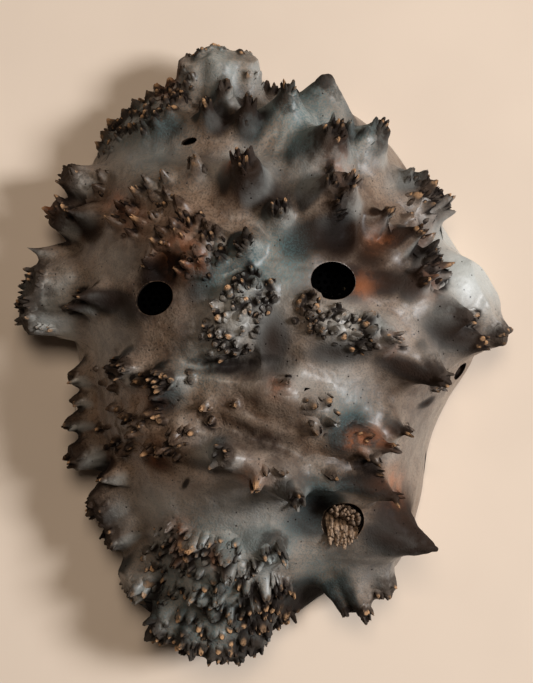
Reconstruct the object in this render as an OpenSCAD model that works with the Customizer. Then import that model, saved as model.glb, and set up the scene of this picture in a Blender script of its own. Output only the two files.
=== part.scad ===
// Rain maker in a hollowed tree burl: a spiked wooden shell over pins and loose seeds.
// Millimetres. The burl lies on its back: +X right, +Y to its crest, +Z out of its face.

/* [Burl] */
// Width of the burl at its rim, without what overhangs it
burl_w = 242; // [216:2:290]
// Length of the burl at its rim, without what overhangs it
burl_l = 316; // [276:4:370]
// Height of the bare dome over the rest face
burl_h = 100; // [85:1:125]
// Wood left over the hollow at the middle of the dome
wall = 22; // [18:0.5:26]
// Wood left outside the back slab at the rim
rim_lip = 5; // [4:0.5:8]
// Width of the ledge that the back slab seats on
ledge = 11; // [9:0.5:16]
// How far each mound and thorn stands out, against the burl in hand
spike_reach = 1; // [0.6:0.05:1.3]

/* [Sound holes] */
// Diameter of the left sound hole
left_hole_d = 20; // [14:0.5:24]
// Diameter of the right sound hole
right_hole_d = 23; // [14:0.5:26]
// Width of the seat around each hole that its screen bears on
screen_seat = 3; // [2:0.5:4]
// Thickness of each screen
screen_t = 1.5; // [1:0.1:2.5]
// Diameter of the perforations in a screen
mesh_d = 2.2; // [1.5:0.1:3]
// Gap between two perforations
mesh_web = 1.4; // [1:0.1:2]

/* [Beetle holes] */
// Width of the beetle's slot over the brow
slot_w = 3.5; // [2.5:0.1:5]
// Length of that slot
slot_l = 8.5; // [6:0.5:12]
// Diameter of the upper hole in the right flank
upper_bore_d = 7; // [4:0.5:9]
// Diameter of the lower hole in the right flank
lower_bore_d = 5.5; // [3:0.5:8]
// Depth of the beetle's holes in the wood
bore_depth = 9; // [5:0.5:11]

/* [Dead knot] */
// Diameter of the socket that the dead knot sits in
socket_d = 22.5; // [22:0.5:28]
// Depth of that socket under the dome
socket_depth = 11; // [8:0.5:12]
// Mean diameter of the dead knot
knot_d = 20; // [12:0.5:20]

/* [Back slab] */
// Thickness of the slab that closes the back
slab_t = 10; // [8:0.5:14]
// Play between the slab's edge and its rebate
slab_play = 0.4; // [0.2:0.05:1]
// Diameter of a back screw's shank
screw_d = 4; // [3:0.1:5]
// Length of a back screw
screw_l = 22; // [18:0.5:26]
// Diameter of a back screw's countersunk head
screw_head_d = 8; // [6:0.1:9]
// Play around a screw in its holes
screw_play = 0.15; // [0.05:0.05:0.4]

/* [Rain works] */
// Number of lanes that the seeds run in
lanes = 7; // [5:1:8]
// Diameter of a dried seed
seed_d = 9; // [7:0.5:11]
// Seeds in one lane
seeds_in_lane = 6; // [3:1:8]
// Gap between two seeds in a lane
seed_gap = 1.2; // [0.5:0.1:3]
// Play between a seed and the pins and slab beside it
seed_play = 0.4; // [0.3:0.05:1]
// Diameter of a pin
pin_d = 3; // [2:0.1:4]
// Height of a pin over the slab
pin_h = 28; // [20:1:34]
// Depth of a pin in the slab
pin_depth = 5; // [3:0.5:6]
// Play around a pin in its hole
pin_play = 0.1; // [0.05:0.05:0.3]
// Distance between two pins of a row
pin_pitch = 18; // [14:0.5:24]
// Length of the pinned part of the slab
pinned_l = 198; // [140:2:220]

/* [Hidden] */
$fn = 48;
pin_rows = lanes + 1;

// Reach of the rim from the middle, every 15 degrees from +X, as drawn before it is stretched
rim_reach = [125, 134, 129, 132, 144, 153, 156, 167, 163, 149, 135, 124,
             111, 112, 117, 125, 144, 165, 164, 147, 150, 129, 112, 112];
rim_step = 360 / len(rim_reach);
// The drawn rim's own width and length, which the burl's sizes stretch
rim_xs = [for (i = [0 : len(rim_reach) - 1]) rim_reach[i] * cos(i * rim_step)];
rim_ys = [for (i = [0 : len(rim_reach) - 1]) rim_reach[i] * sin(i * rim_step)];
drawn_w = max(rim_xs) - min(rim_xs);
drawn_l = max(rim_ys) - min(rim_ys);
stretch = [burl_w / drawn_w, burl_l / drawn_l];
// What the drawn heights and radii are multiplied by
spread = (stretch.x + stretch.y) / 2;
// How full the dome is at its middle, and how steep at its edge
dome_full = 2.4;
dome_edge = 0.62;
// Rings of points over the dome, with six more points on each ring
rings = 40;
// How much closer the rings lie at the rim
ring_crowd = 0.25;
// Sides of the rebate and of the hollow: each faces three points of the rim
rim_sides = 2 * rings;
hollow_rings = [0.985, 0.94, 0.87, 0.77, 0.63, 0.45, 0.24];
hollow_h = burl_h - wall - slab_t;
// Share of the rim's reach that the foot of an outlying mound keeps within
foot_limit = 0.93;
// How a flank flares (1 is a straight cone), and how far it runs back towards the middle as a root
flare = 2;
root = 0.35;
// How firmly the tallest mound wins where mounds meet
merge = 4;
// How blunt a top is that names no bluntness of its own, as a share of its foot
crown = 0.05;
// A row with a wider foot than this is a mound, and any other is a thorn, which may stand on a mound
mound_r = 12.5;

// Mounds and thorns: the tip's place as drawn, its height, the radius of its foot and how blunt it is
crest = [[-42, 167, 10, 16, 0.45], [-26, 171, 13, 20, 0.5], [-11, 169, 11, 17, 0.45],
    [-57, 162, 7, 10], [-65, 159, 7, 10], [-73, 156, 7, 11], [-81, 151, 8, 11], [-89, 145, 8, 11],
    [-94, 137, 8, 11], [-101, 130, 9, 12], [-106, 124, 9, 11], [-66, 145, 6, 7], [-57, 144, 6, 7],
    [-49, 145, 6, 8], [-76, 139, 6, 7], [-69, 137, 5, 7],
    [-55, 137, 7, 8], [-78, 130, 6, 7], [-70, 131, 6, 7], [-63, 131, 7, 8], [-54, 151, 5, 7],
    [-32, 138, 13, 13, 0.15], [-22, 148, 12, 14, 0.25], [-8, 138, 15, 14, 0.15], [-12, 130, 6, 7],
    [-8, 161, 8, 8], [-3, 161, 8, 8], [2, 159, 8, 8], [6, 157, 8, 8], [11, 155, 7, 8],
    [14, 147, 23, 25, 0.1],
    [36, 158, 13, 32, 0.1]];
brow = [[38, 122, 21, 27, 0.26], [51, 129, 9, 9], [67, 127, 19, 23, 0.22], [60, 126, 8, 8],
    [94, 95, 14, 24, 0.3], [104, 86, 12, 15, 0.2], [41, 91, 18, 26, 0.3], [38, 76, 9, 14, 0.3],
    [87, 103, 9, 9], [94, 102, 9, 9], [99, 97, 10, 9], [107, 90, 12, 10], [109, 83, 12, 10],
    [97, 86, 8, 8], [89, 90, 8, 9], [98, 79, 8, 8], [8, 77, 8, 14, 0.3], [-9, 101, 16, 22, 0.28],
    [-38, 103, 10, 12],
    [-66, 95, 7, 7], [-56, 97, 7, 7], [-73, 88, 8, 8], [-62, 86, 7, 7], [-54, 87, 7, 7], [-46, 80, 9, 12],
    [-114, 102, 12, 19, 0.4], [-97, 102, 8, 9], [-98, 94, 7, 8]];
temples = [[-110, 79, 15, 15, 0.08], [-121, 80, 12, 19, 0.4], [-136, 60, 16, 14, 0.05], [-82, 82, 6, 6],
    [-76, 78, 6, 6], [-70, 72, 8, 9], [-86, 72, 9, 10], [-74, 65, 7, 7], [-62, 75, 5, 6],
    [-57, 66, 6, 7], [-50, 70, 6, 7], [-47, 64, 6, 7], [-60, 60, 5, 6], [-36, 71, 6, 8], [-30, 67, 6, 8],
    [-33, 61, 5, 6], [-37, 55, 7, 8], [-26, 65, 6, 9], [-42, 48, 7, 8], [-34, 49, 7, 8],
    [-46, 44, 7, 7], [-24, 49, 6, 7], [-65, 50, 8, 9], [-10, 58, 10, 14, 0.25],
    [67, 76, 11, 13, 0.1], [83, 76, 9, 11], [85, 67, 15, 15, 0.15], [96, 66, 9, 8], [96, 60, 8, 8],
    [94, 52, 9, 16, 0.3], [102, 52, 9, 9], [102, 46, 9, 9], [87, 41, 8, 14, 0.3],
    [124, 42, 10, 34, 0.3], [132, 27, 13, 30, 0.3]];
nose = [[-13, 34, 5, 5], [-12, 27, 5, 5], [-13, 19, 5, 5], [-12, 12, 5, 5], [-15, 5, 5, 5], [-9, 4, 4, 5],
    [-5, 37, 6, 6], [3, 37, 6, 6], [3, 31, 5, 5], [-4, 27, 5, 5], [-3, 19, 5, 5], [-4, 12, 5, 5],
    [-27, 25, 6, 7], [-33, 9, 5, 7], [-24, 9, 4, 5], [-20, 2, 5, 6]];
cheeks = [[27, 29, 6, 7], [24, 21, 5, 6], [24, 15, 5, 6], [36, 24, 5, 6], [41, 20, 5, 6],
    [30, 12, 5, 6], [38, 13, 5, 6], [57, 20, 7, 8], [50, 10, 6, 7], [53, 3, 6, 7], [58, 12, 7, 8],
    [69, 8, 15, 18, 0.12], [113, 20, 18, 20, 0.16], [122, 4, 16, 18, 0.22], [138, 10, 15, 21, 0.3],
    [97, -15, 23, 24, 0.16], [-100, 31, 13, 13, 0.1], [-107, 25, 13, 13, 0.1], [-134, 38, 18, 26, 0.42],
    [-138, 21, 21, 25, 0.4], [-123, 13, 12, 15, 0.2]];
jaws = [[-79, -8, 8, 16, 0.3], [-111, -14, 12, 16, 0.2], [-108, -27, 10, 13, 0.2],
    [-113, -42, 13, 16, 0.25],
    [-110, -60, 13, 18, 0.4], [-92, -72, 14, 14, 0.08], [-54, -15, 8, 15, 0.3], [-60, -23, 7, 9],
    [-87, -31, 6, 7], [-79, -35, 6, 7], [-71, -38, 6, 7], [-63, -33, 7, 11], [-76, -45, 6, 7],
    [-80, -54, 7, 8], [-66, -54, 6, 8], [-58, -52, 7, 9], [-50, -46, 7, 12], [-33, -29, 6, 8],
    [-29, -36, 5, 6], [-16, -27, 4, 6], [-22, -54, 8, 15, 0.3], [-2, -67, 10, 12],
    [9, -63, 8, 9], [12, -16, 8, 9], [25, -27, 7, 9], [34, -25, 7, 8], [38, -35, 9, 11], [27, -40, 8, 9],
    [77, -43, 13, 16, 0.06], [57, -44, 7, 9], [68, -51, 13, 16, 0.1], [56, -54, 6, 6], [62, -57, 6, 7],
    [71, -78, 18, 18, 0.06], [63, -66, 6, 7], [36, -66, 9, 11], [17, -78, 15, 14, 0.3],
    [95, -109, 31, 32, 0.04]];
chin = [[-97, -90, 13, 21, 0.42], [-90, -108, 11, 18, 0.4], [-62, -101, 4, 6], [-55, -98, 5, 6],
    [-47, -98, 5, 6],
    [-43, -106, 5, 6], [-25, -109, 7, 8], [-78, -134, 10, 21, 0.5], [-62, -160, 9, 20, 0.35],
    [-16, -113, 5, 7], [-45, -168, 10, 22, 0.35], [-25, -174, 11, 24, 0.35], [-8, -169, 10, 22, 0.35],
    [5, -108, 8, 20, 0.3], [45, -149, 7, 16, 0.15], [57, -150, 9, 20, 0.2], [70, -137, 6, 18, 0.35]];
rows = concat(crest, brow, temples, nose, cheeks, jaws, chin);

// Hollows in the dome: the place as drawn, the depth and the radius
hollows = [[-51, 45, 9, 14], [30, -85, 11, 14], [28, -142, 18, 15], [60, 62, 5, 16],
    [40, 64, 7, 13], [44, -38, 5, 14], [8, -2, 4, 15], [-12, -3, 4, 15]];
// Low oval swells, or grooves below 0: the place as drawn, the rise, two half lengths and the turn
swells = [[-14, 21, 8, 32, 20, 60], [41, 15, 9, 36, 19, -20], [-46, 62, 7, 38, 24, -25],
    [-40, 112, -5, 62, 15, -6],
    [-14, -90, -10, 78, 24, -4], [-28, -141, 15, 48, 44, -10], [54, -130, 7, 26, 20, 20],
    [-66, 138, 9, 38, 22, 35], [-26, 158, 8, 28, 16, 0], [16, -25, 9, 42, 17, -18],
    [50, -48, 9, 30, 12, -6],
    [0, -62, 10, 46, 14, -18], [-66, -42, 7, 34, 22, 0], [-66, -14, 5, 34, 16, 0],
    [70, -20, -5, 30, 16, -15],
    [20, 100, -5, 22, 22, 0], [46, -71, 8, 34, 10, 3], [-10, -43, -5, 48, 9, -18], [-16, -7, -6, 36, 8, 0]];
// How quickly the hollows and swells fade towards the rim
rim_fade = 8;
// Least share of the dome's height that a hollow leaves
hollow_floor = 0.3;

// Places of the sound holes and of the knot's socket, as drawn
left_hole_at = [-59.3, 29.4];
right_hole_at = [36.6, 38.6];
knot_at = [43, -93];
// Places of the beetle's slot and of the holes in the right flank, and how the slot slants
slot_at = [-42, 117];
slot_slant = 12;
upper_bore_at = [113, -11];
lower_bore_at = [103, -18];
// Directions in which the back screws stand, from +X
screw_dirs = [20, 62, 105, 150, 200, 245, 275, 318];
screw_tip = 3;
screw_sink = 0.3;

// The rim's reach in any direction, on a smooth curve through the drawn reaches
function reach_at(i) = rim_reach[(i + len(rim_reach)) % len(rim_reach)];
function rim(dir) =
    let (turn = (dir + 360) % 360 / rim_step,
        i = floor(turn),
        f = turn - i,
        a = reach_at(i - 1),
        b = reach_at(i),
        c = reach_at(i + 1),
        d = reach_at(i + 2))
    b + f * ((c - a) + f * ((2 * a - 5 * b + 4 * c - d) + f * (3 * b - a - 3 * c + d))) / 2;

// A drawn place on the real burl, and the other way round
function place(p) = [p.x * stretch.x, p.y * stretch.y];
function drawn(q) = [q.x / stretch.x, q.y / stretch.y];
// A point of the rim, and a point moved in from it towards the middle
function rim_point(dir) = place(rim(dir) * [cos(dir), sin(dir)]);
function inset(q, d) = q * (1 - d / norm(q));

// How far out a place lies, from 0 at the middle to 1 at the rim
function share(q) =
    let (u = drawn(q))
    norm(u) < 0.01 ? 0 : norm(u) / rim(atan2(u.y, u.x));
function swell(s) = pow(max(0, 1 - pow(s, dome_full)), dome_edge);
function falloff(d) = d < 1 ? pow(1 - d * d, 2) : 0;
// How far out a place lies in a swell, 1 at its edge
function in_oval(q, s) =
    let (away = (q - place([s[0], s[1]])) / spread,
        c = cos(s[5]),
        n = sin(s[5]))
    norm([(away.x * c + away.y * n) / s[3], (away.y * c - away.x * n) / s[4]]);
function dip(q) =
    let (down = max([for (p = hollows) p[2] * falloff(norm(q - place([p[0], p[1]])) / p[3] / spread)]),
        ups = [for (s = swells) s[2] * falloff(in_oval(q, s))])
    (down - ups * [for (u = ups) 1]) * spread * min(1, rim_fade * max(0, 1 - share(q)));
// Height of the bare dome, and of the hollow's ceiling under it
function dome(q) =
    let (h = burl_h * swell(share(q)))
    max(h - dip(q), hollow_floor * h);
function hollow_edge(dir) = inset(rim_point(dir), rim_lip + ledge);
function ceiling(q) =
    let (u = drawn(q))
    slab_t + hollow_h * swell(norm(q) / norm(hollow_edge(atan2(u.y, u.x))));
// Direction that the dome faces at a place
function facing(q) =
    let (e = 2,
        gx = burl_h * (swell(share(q + [e, 0])) - swell(share(q - [e, 0]))) / (2 * e),
        gy = burl_h * (swell(share(q + [0, e])) - swell(share(q - [0, e]))) / (2 * e))
    [-gx, -gy, 1] / norm([gx, gy, 1]);
function held_in(q, limit) = share(q) > limit ? q * limit / share(q) : q;

// A mound: its foot on the dome, the vector from there to its tip, its foot's radius and bluntness
least_rise = 0.2;
function grown(s) =
    let (tip = place([s[0], s[1]]),
        h = s[2] * spread * spike_reach,
        n = facing(held_in(tip, foot_limit)),
        foot = held_in(tip - h * [n.x, n.y], foot_limit),
        lean = (tip - foot) * spike_reach)
    [[foot.x, foot.y, dome(foot)], [lean.x, lean.y, h * max(n.z, least_rise)], s[3] * spread,
        len(s) > 4 ? s[4] : crown];
// A thorn: the same, but its foot stands where the mounds have carried the dome
thorn_h = 0.9;
thorn_r = 1.15;
tries = 8;
function planted(s) =
    let (tip = place([s[0], s[1]]),
        h = s[2] * spread * spike_reach,
        n = facing(held_in(tip, foot_limit)),
        aim = held_in(tip - h * [n.x, n.y], foot_limit),
        q = under(aim, aim, tries))
    [carried([q.x, q.y, dome(q)], mounds), h * thorn_h * [n.x, n.y, max(n.z, least_rise)],
        s[3] * spread * thorn_r, crown, q];
// The place on the bare dome that the mounds carry over a given place
function under(aim, q, left) =
    left == 0 ? q :
    let (p = carried([q.x, q.y, dome(q)], mounds))
    under(aim, held_in(q + (aim - [p.x, p.y]) / 2, foot_limit), left - 1);
mounds = [for (s = rows) if (s[3] > mound_r) grown(s)];
thorns = [for (s = rows) if (s[3] <= mound_r) planted(s)];

// Rings of points: how far out ring k lies, and which ring is nearest to a share
function ring_share(k) =
    let (t = k / rings)
    t * (1 + ring_crowd - ring_crowd * t * t);
function ring_of(s, t, left) =
    left == 0 ? round(t * rings) : ring_of(s, s / (1 + ring_crowd - ring_crowd * t * t), left - 1);
function first_on(k) = k == 0 ? 0 : 1 + 3 * k * (k - 1);
function on_ring(k, j) = k == 0 ? 0 : first_on(k) + (j + 6 * k) % (6 * k);
function ring_point(k, j) = k == 0 ? [0, 0] : rim_point(j * 60 / k) * ring_share(k);
function nearest(q) =
    let (u = drawn(q),
        k = ring_of(share(q), share(q), 5))
    on_ring(k, round((atan2(u.y, u.x) + 360) % 360 * k / 60));

// A point carried out by the mounds or thorns around it
function carried(p, feet) =
    let (pulls = [for (f = feet)
            let (length = norm(f[1]),
                lean = [f[1].x, f[1].y, 0] / length,
                gap = p - f[0],
                d = norm(gap - lean * min(0, gap * lean) * root) / f[2])
            if (d < 1)
            let (rise = pow(min(1, (1 - d) / (1 - f[3])), flare),
                w = pow(rise * length, merge),
                u = f[1] / length)
            [w, w * u.x, w * u.y, w * u.z, w * length]],
        all = len(pulls) == 0 ? [0] : [for (q = pulls) 1] * pulls)
    all[0] > 0 ? p + [all[1], all[2], all[3]] / all[0] * min(pow(all[0], 1 / merge), all[4] / all[0]) : p;

// The burl's outside, its rim, the rebate for the slab and the hollow, as one closed skin
module burl_body() {
    feet = concat([for (f = mounds) [f[0].x, f[0].y]], [for (f = thorns) f[4]]);
    picks = [for (q = feet) nearest(q)];
    outside = [for (k = [0 : rings]) for (j = [0 : max(0, 6 * k - 1)])
        let (hit = search(on_ring(k, j), picks),
            q = len(hit) > 0 && k < rings ? feet[hit[0]] : ring_point(k, j))
        k == rings ? [q.x, q.y, 0] : carried(carried([q.x, q.y, dome(q)], mounds), thorns)];
    count = len(outside);
    dirs = [for (i = [0 : rim_sides - 1]) i * 360 / rim_sides];
    inside = concat(
        [for (d = dirs) let (q = inset(rim_point(d), rim_lip)) [q.x, q.y, 0]],
        [for (d = dirs) let (q = inset(rim_point(d), rim_lip)) [q.x, q.y, slab_t]],
        [for (d = dirs) let (q = hollow_edge(d)) [q.x, q.y, slab_t]],
        [for (s = hollow_rings) for (d = dirs) let (q = hollow_edge(d) * s) [q.x, q.y, ceiling(q)]],
        [[0, 0, slab_t + hollow_h]]);
    loops = 2 + len(hollow_rings);
    top = count + (loops + 1) * rim_sides;
    dome_faces = [for (k = [1 : rings]) for (s = [0 : 5]) for (i = [0 : k - 1])
        each concat(
            [[on_ring(k - 1, s * (k - 1) + i), on_ring(k, s * k + i + 1), on_ring(k, s * k + i)]],
            i == k - 1 ? [] : [[on_ring(k - 1, s * (k - 1) + i),
                on_ring(k - 1, s * (k - 1) + i + 1), on_ring(k, s * k + i + 1)]])];
    rim_faces = [for (i = [0 : rim_sides - 1])
        let (a = count + i, b = count + (i + 1) % rim_sides)
        each concat(
            [for (n = [0 : 2]) [a, on_ring(rings, 3 * i + n), on_ring(rings, 3 * i + n + 1)]],
            [[a, on_ring(rings, 3 * i + 3), b]])];
    hollow_faces = [for (l = [0 : loops - 1]) for (i = [0 : rim_sides - 1])
        let (a = count + l * rim_sides + i, b = count + l * rim_sides + (i + 1) % rim_sides)
        each [[a, b, b + rim_sides], [a, b + rim_sides, a + rim_sides]]];
    cap_faces = [for (i = [0 : rim_sides - 1])
        [top - rim_sides + i, top - rim_sides + (i + 1) % rim_sides, top]];
    polyhedron(concat(outside, inside), concat(dome_faces, rim_faces, hollow_faces, cap_faces));
}

// Where a screen's seat lies: clear of the ceiling all round the screen
function screen_r(hole_d) = hole_d / 2 + screen_seat;
function seat_z(q, hole_d) =
    let (r = screen_r(hole_d) + screen_play)
    max([for (d = [0 : 30 : 330]) ceiling(q + r * [cos(d), sin(d)])]) + screen_t;
screen_play = 0.2;

// Places of the back screws, in the middle of the ledge
screw_places = [for (d = screw_dirs) inset(rim_point(d), rim_lip + ledge / 2)];

module at_screws() {
    for (q = screw_places) translate([q.x, q.y, 0]) children();
}

// A sound hole through the dome, with its screen's seat cut from inside
module sound_hole(q, hole_d) {
    translate([q.x, q.y, slab_t]) cylinder(d = hole_d, h = 2 * burl_h);
    translate([q.x, q.y, slab_t + 1])
        cylinder(r = screen_r(hole_d) + screen_play, h = seat_z(q, hole_d) - slab_t - 1);
}

// A hole that a beetle bored into the dome, halfway between square to it and straight down
module bored(p) {
    q = place(p);
    aim = facing(q) + [0, 0, 1];
    n = aim / norm(aim);
    translate([q.x, q.y, dome(q)]) rotate([0, acos(n.z), atan2(n.y, n.x)])
        translate([0, 0, -bore_depth]) children();
}

module beetle_slot() {
    run = slot_l - slot_w;
    rotate(slot_slant) {
        for (side = [-1, 1]) translate([side * run / 2, 0, 0]) cylinder(d = slot_w, h = 2 * bore_depth);
        translate([-run / 2, -slot_w / 2, 0]) cube([run, slot_w, 2 * bore_depth]);
    }
}

module burl_shell() {
    knot = place(knot_at);
    color("#4d3f36") difference() {
        burl_body();
        sound_hole(place(left_hole_at), left_hole_d);
        sound_hole(place(right_hole_at), right_hole_d);
        translate([knot.x, knot.y, dome(knot) - socket_depth]) cylinder(d = socket_d, h = burl_h);
        at_screws() cylinder(d = screw_d + 2 * screw_play, h = screw_l + screw_tip);
        bored(slot_at) rotate(-atan2(place(slot_at).y, place(slot_at).x)) beetle_slot();
        bored(upper_bore_at) cylinder(d = upper_bore_d, h = 4 * bore_depth);
        bored(lower_bore_at) cylinder(d = lower_bore_d, h = 4 * bore_depth);
    }
}

// The dead knot: a fibrous stub with a ragged side and a slanting broken end
knot_fibres = 9;
knot_ragged = 0.05;
knot_slant = 24;
knot_offset = [0.2, -0.2];
module dead_knot() {
    knot = place(knot_at);
    foot = dome(knot) - socket_depth;
    color("#9a7350") translate([knot.x + knot_offset.x, knot.y + knot_offset.y, foot]) difference() {
        linear_extrude(height = 2 * socket_depth) polygon([for (i = [0 : 35])
            let (r = knot_d / 2 * (1 + knot_ragged * sin(knot_fibres * i * 10) * sin(i * 5)))
            r * [cos(i * 10), sin(i * 10)]]);
        translate([0, 0, socket_depth + 1]) rotate([knot_slant, -knot_slant / 2, 0])
            translate([-knot_d, -knot_d, 0]) cube([2 * knot_d, 2 * knot_d, 3 * socket_depth]);
    }
}

// Pins: the row's place across the slab, and the places along it, each second row half a pitch on
lane_w = seed_d + 2 * seed_play + pin_d;
function row_x(n) = (n - 1 - lanes / 2) * lane_w;
function pin_ys(n) =
    let (shift = n % 2 == 0 ? pin_pitch / 2 : 0)
    [for (y = [-pinned_l / 2 + shift : pin_pitch : pinned_l / 2]) y];

module pin_row(n, r, h) {
    for (y = pin_ys(n)) translate([row_x(n), y, slab_t - pin_depth]) cylinder(r = r, h = h);
}

module back_slab() {
    sink = (screw_head_d - screw_d) / 2;
    color("#7a5c40") difference() {
        linear_extrude(height = slab_t) polygon([for (i = [0 : rim_sides - 1])
            inset(rim_point(i * 360 / rim_sides), rim_lip + slab_play)]);
        at_screws() translate([0, 0, -1]) cylinder(d = screw_d + 2 * screw_play, h = slab_t + 2);
        at_screws() translate([0, 0, screw_sink])
            cylinder(d1 = screw_head_d + 2 * screw_play, d2 = screw_d + 2 * screw_play, h = sink);
        at_screws() translate([0, 0, -1]) cylinder(d = screw_head_d + 2 * screw_play, h = 1 + screw_sink);
        for (n = [1 : pin_rows]) pin_row(n, pin_d / 2 + pin_play, pin_depth + 1);
    }
}

module back_screws() {
    sink = (screw_head_d - screw_d) / 2;
    color("#b8913f") at_screws() translate([0, 0, screw_sink]) {
        cylinder(d1 = screw_head_d, d2 = screw_d, h = sink);
        cylinder(d = screw_d, h = screw_l - screw_tip);
        translate([0, 0, screw_l - screw_tip]) cylinder(d1 = screw_d, d2 = screw_d / 4, h = screw_tip);
    }
}

// A perforated disc, its holes in rings of six more each
module screen(q, hole_d) {
    step = mesh_d + mesh_web;
    turns = floor((hole_d - mesh_d) / 2 / step);
    color("#151414") translate([q.x, q.y, seat_z(q, hole_d) - screen_t]) difference() {
        cylinder(r = screen_r(hole_d), h = screen_t);
        for (k = [0 : turns]) for (j = [0 : max(0, 6 * k - 1)])
            rotate(k == 0 ? 0 : j * 60 / k) translate([k * step, 0, -1])
                cylinder(d = mesh_d, h = screen_t + 2);
    }
}

module left_screen() {
    screen(place(left_hole_at), left_hole_d);
}

module right_screen() {
    screen(place(right_hole_at), right_hole_d);
}

module pins(n) {
    color("#a9895c") pin_row(n, pin_d / 2, pin_depth + pin_h);
}

// One lane's seeds, which roll along it together
module seeds(n) {
    step = seed_d + seed_gap;
    color("#c9b383") for (i = [0 : seeds_in_lane - 1])
        translate([(row_x(n) + row_x(n + 1)) / 2, (i - (seeds_in_lane - 1) / 2) * step,
            slab_t + seed_play + seed_d / 2]) sphere(d = seed_d);
}

burl_shell();
dead_knot();
back_slab();
back_screws();
left_screen();
right_screen();
for (n = [1 : pin_rows])
    pins(n);
for (n = [1 : lanes])
    seeds(n);
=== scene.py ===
# %% [markdown]
# A rain maker in a tree burl. The real object is a hollowed burl: a dome of dark, waxed wood that grew
# hundreds of cones, horns and knobs, with two drilled holes, and pins and loose seeds behind a wooden
# back. The CAD model gives the pieces and their places. This lesson loads it as a fixed frame and builds
# the surface of each piece around it.

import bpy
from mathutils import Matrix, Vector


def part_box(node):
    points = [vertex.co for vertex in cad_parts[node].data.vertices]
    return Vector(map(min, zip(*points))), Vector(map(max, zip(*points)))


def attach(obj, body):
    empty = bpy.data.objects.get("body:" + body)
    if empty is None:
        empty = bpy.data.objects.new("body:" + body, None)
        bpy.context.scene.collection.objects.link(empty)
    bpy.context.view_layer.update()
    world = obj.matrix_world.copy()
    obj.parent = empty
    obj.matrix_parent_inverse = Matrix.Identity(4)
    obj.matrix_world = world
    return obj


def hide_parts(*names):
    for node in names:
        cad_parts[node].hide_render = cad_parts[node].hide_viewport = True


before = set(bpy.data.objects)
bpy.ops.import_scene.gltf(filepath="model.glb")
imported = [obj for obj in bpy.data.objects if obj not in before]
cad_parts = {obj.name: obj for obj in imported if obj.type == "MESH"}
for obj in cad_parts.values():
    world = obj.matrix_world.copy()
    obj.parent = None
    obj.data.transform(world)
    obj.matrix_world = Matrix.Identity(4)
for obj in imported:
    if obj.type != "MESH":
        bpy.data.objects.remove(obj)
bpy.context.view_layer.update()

import math
import random

import bmesh
import bpy
import numpy as np
from mathutils import Vector, noise
from mathutils.bvhtree import BVHTree

MM = 0.001
print("nodes in the frame:", len(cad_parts))

# %% [markdown]
# The camera hangs straight over the burl, which lies on its back. A long lens from 0.9 m keeps the sides
# of the spikes in view as they are in a photograph taken by hand. The frame is taller than it is wide, so
# the lens is given for the height.

# %% Camera
CAMERA_HEIGHT = 0.9
CAMERA_OVER = (0.0009, 0.006)
SEEN_LENGTH = 0.3948
SENSOR = 36


def put_in_scene(name, data):
    made = bpy.data.objects.new(name, data)
    bpy.context.scene.collection.objects.link(made)
    return made


camera_data = bpy.data.cameras.new("camera_over_burl")
camera_data.sensor_fit = "VERTICAL"
camera_data.sensor_height = SENSOR
camera_data.lens = SENSOR * CAMERA_HEIGHT / SEEN_LENGTH
camera = put_in_scene("camera_over_burl", camera_data)
camera.location = (*CAMERA_OVER, CAMERA_HEIGHT)
bpy.context.scene.camera = camera
bpy.context.scene.view_settings.view_transform = "Standard"
print("lens:", round(camera_data.lens, 1), "mm")

# %% [markdown]
# The light is plain: one cool window to the right, a weaker warm lamp above, and a faint even world. A
# source as wide as a window gives each cone a bright side and a soft dark side without hard shadows.

# %% Light
def window_light(name, place, width, watts, colour):
    data = bpy.data.lights.new(name, "AREA")
    data.size = width
    data.energy = watts
    data.color = colour
    lamp = put_in_scene(name, data)
    lamp.location = place
    lamp.rotation_euler = Vector(place).to_track_quat("Z", "Y").to_euler()


window_light("window_right", (2.1, 0.26, 1.9), 0.7, 92, (0.94, 0.97, 1.0))
window_light("lamp_above", (0.0, 0.8, 2.6), 0.9, 30, (1.0, 0.88, 0.74))
world = bpy.data.worlds.new("even_room")
world.use_nodes = True
world.node_tree.nodes["Background"].inputs["Color"].default_value = (1.0, 0.88, 0.76, 1)
world.node_tree.nodes["Background"].inputs["Strength"].default_value = 0.02
bpy.context.scene.world = world

# %% [markdown]
# The burl's outside is a dome on an uneven rim. The rim is known by its reach in 24 directions, drawn
# from above, and a smooth curve runs through them. The same numbers are in the CAD model, so that both
# surfaces agree.

# %% The rim and the dome
RIM_REACH = np.array([125, 134, 129, 132, 144, 153, 156, 167, 163, 149, 135, 124,
                      111, 112, 117, 125, 144, 165, 164, 147, 150, 129, 112, 112], float)
RIM_TURNS = 2 * math.pi * np.arange(len(RIM_REACH)) / len(RIM_REACH)
DRAWN_SIZE = np.array([np.ptp(RIM_REACH * np.cos(RIM_TURNS)), np.ptp(RIM_REACH * np.sin(RIM_TURNS))])
BURL_SIZE = np.array([242, 316])
STRETCH = BURL_SIZE / DRAWN_SIZE
SPREAD = STRETCH.mean()
DOME_HEIGHT = 100
DOME_FULL = 2.4
DOME_EDGE = 0.62
SLOPE_STEP = 2.0


def rim(direction):
    turn = np.mod(direction, 2 * math.pi) / (2 * math.pi) * len(RIM_REACH)
    i = np.floor(turn).astype(int)
    f = turn - i
    a, b, c, d = (RIM_REACH[(i + n) % len(RIM_REACH)] for n in (-1, 0, 1, 2))
    return b + f * ((c - a) + f * ((2 * a - 5 * b + 4 * c - d) + f * (3 * b - a - 3 * c + d))) / 2


def rim_point(direction):
    reach = rim(direction)
    return np.stack([reach * np.cos(direction), reach * np.sin(direction)], -1) * STRETCH


def rim_share(plan):
    drawn = plan / STRETCH
    return np.linalg.norm(drawn, axis=-1) / rim(np.arctan2(drawn[..., 1], drawn[..., 0]))


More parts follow.
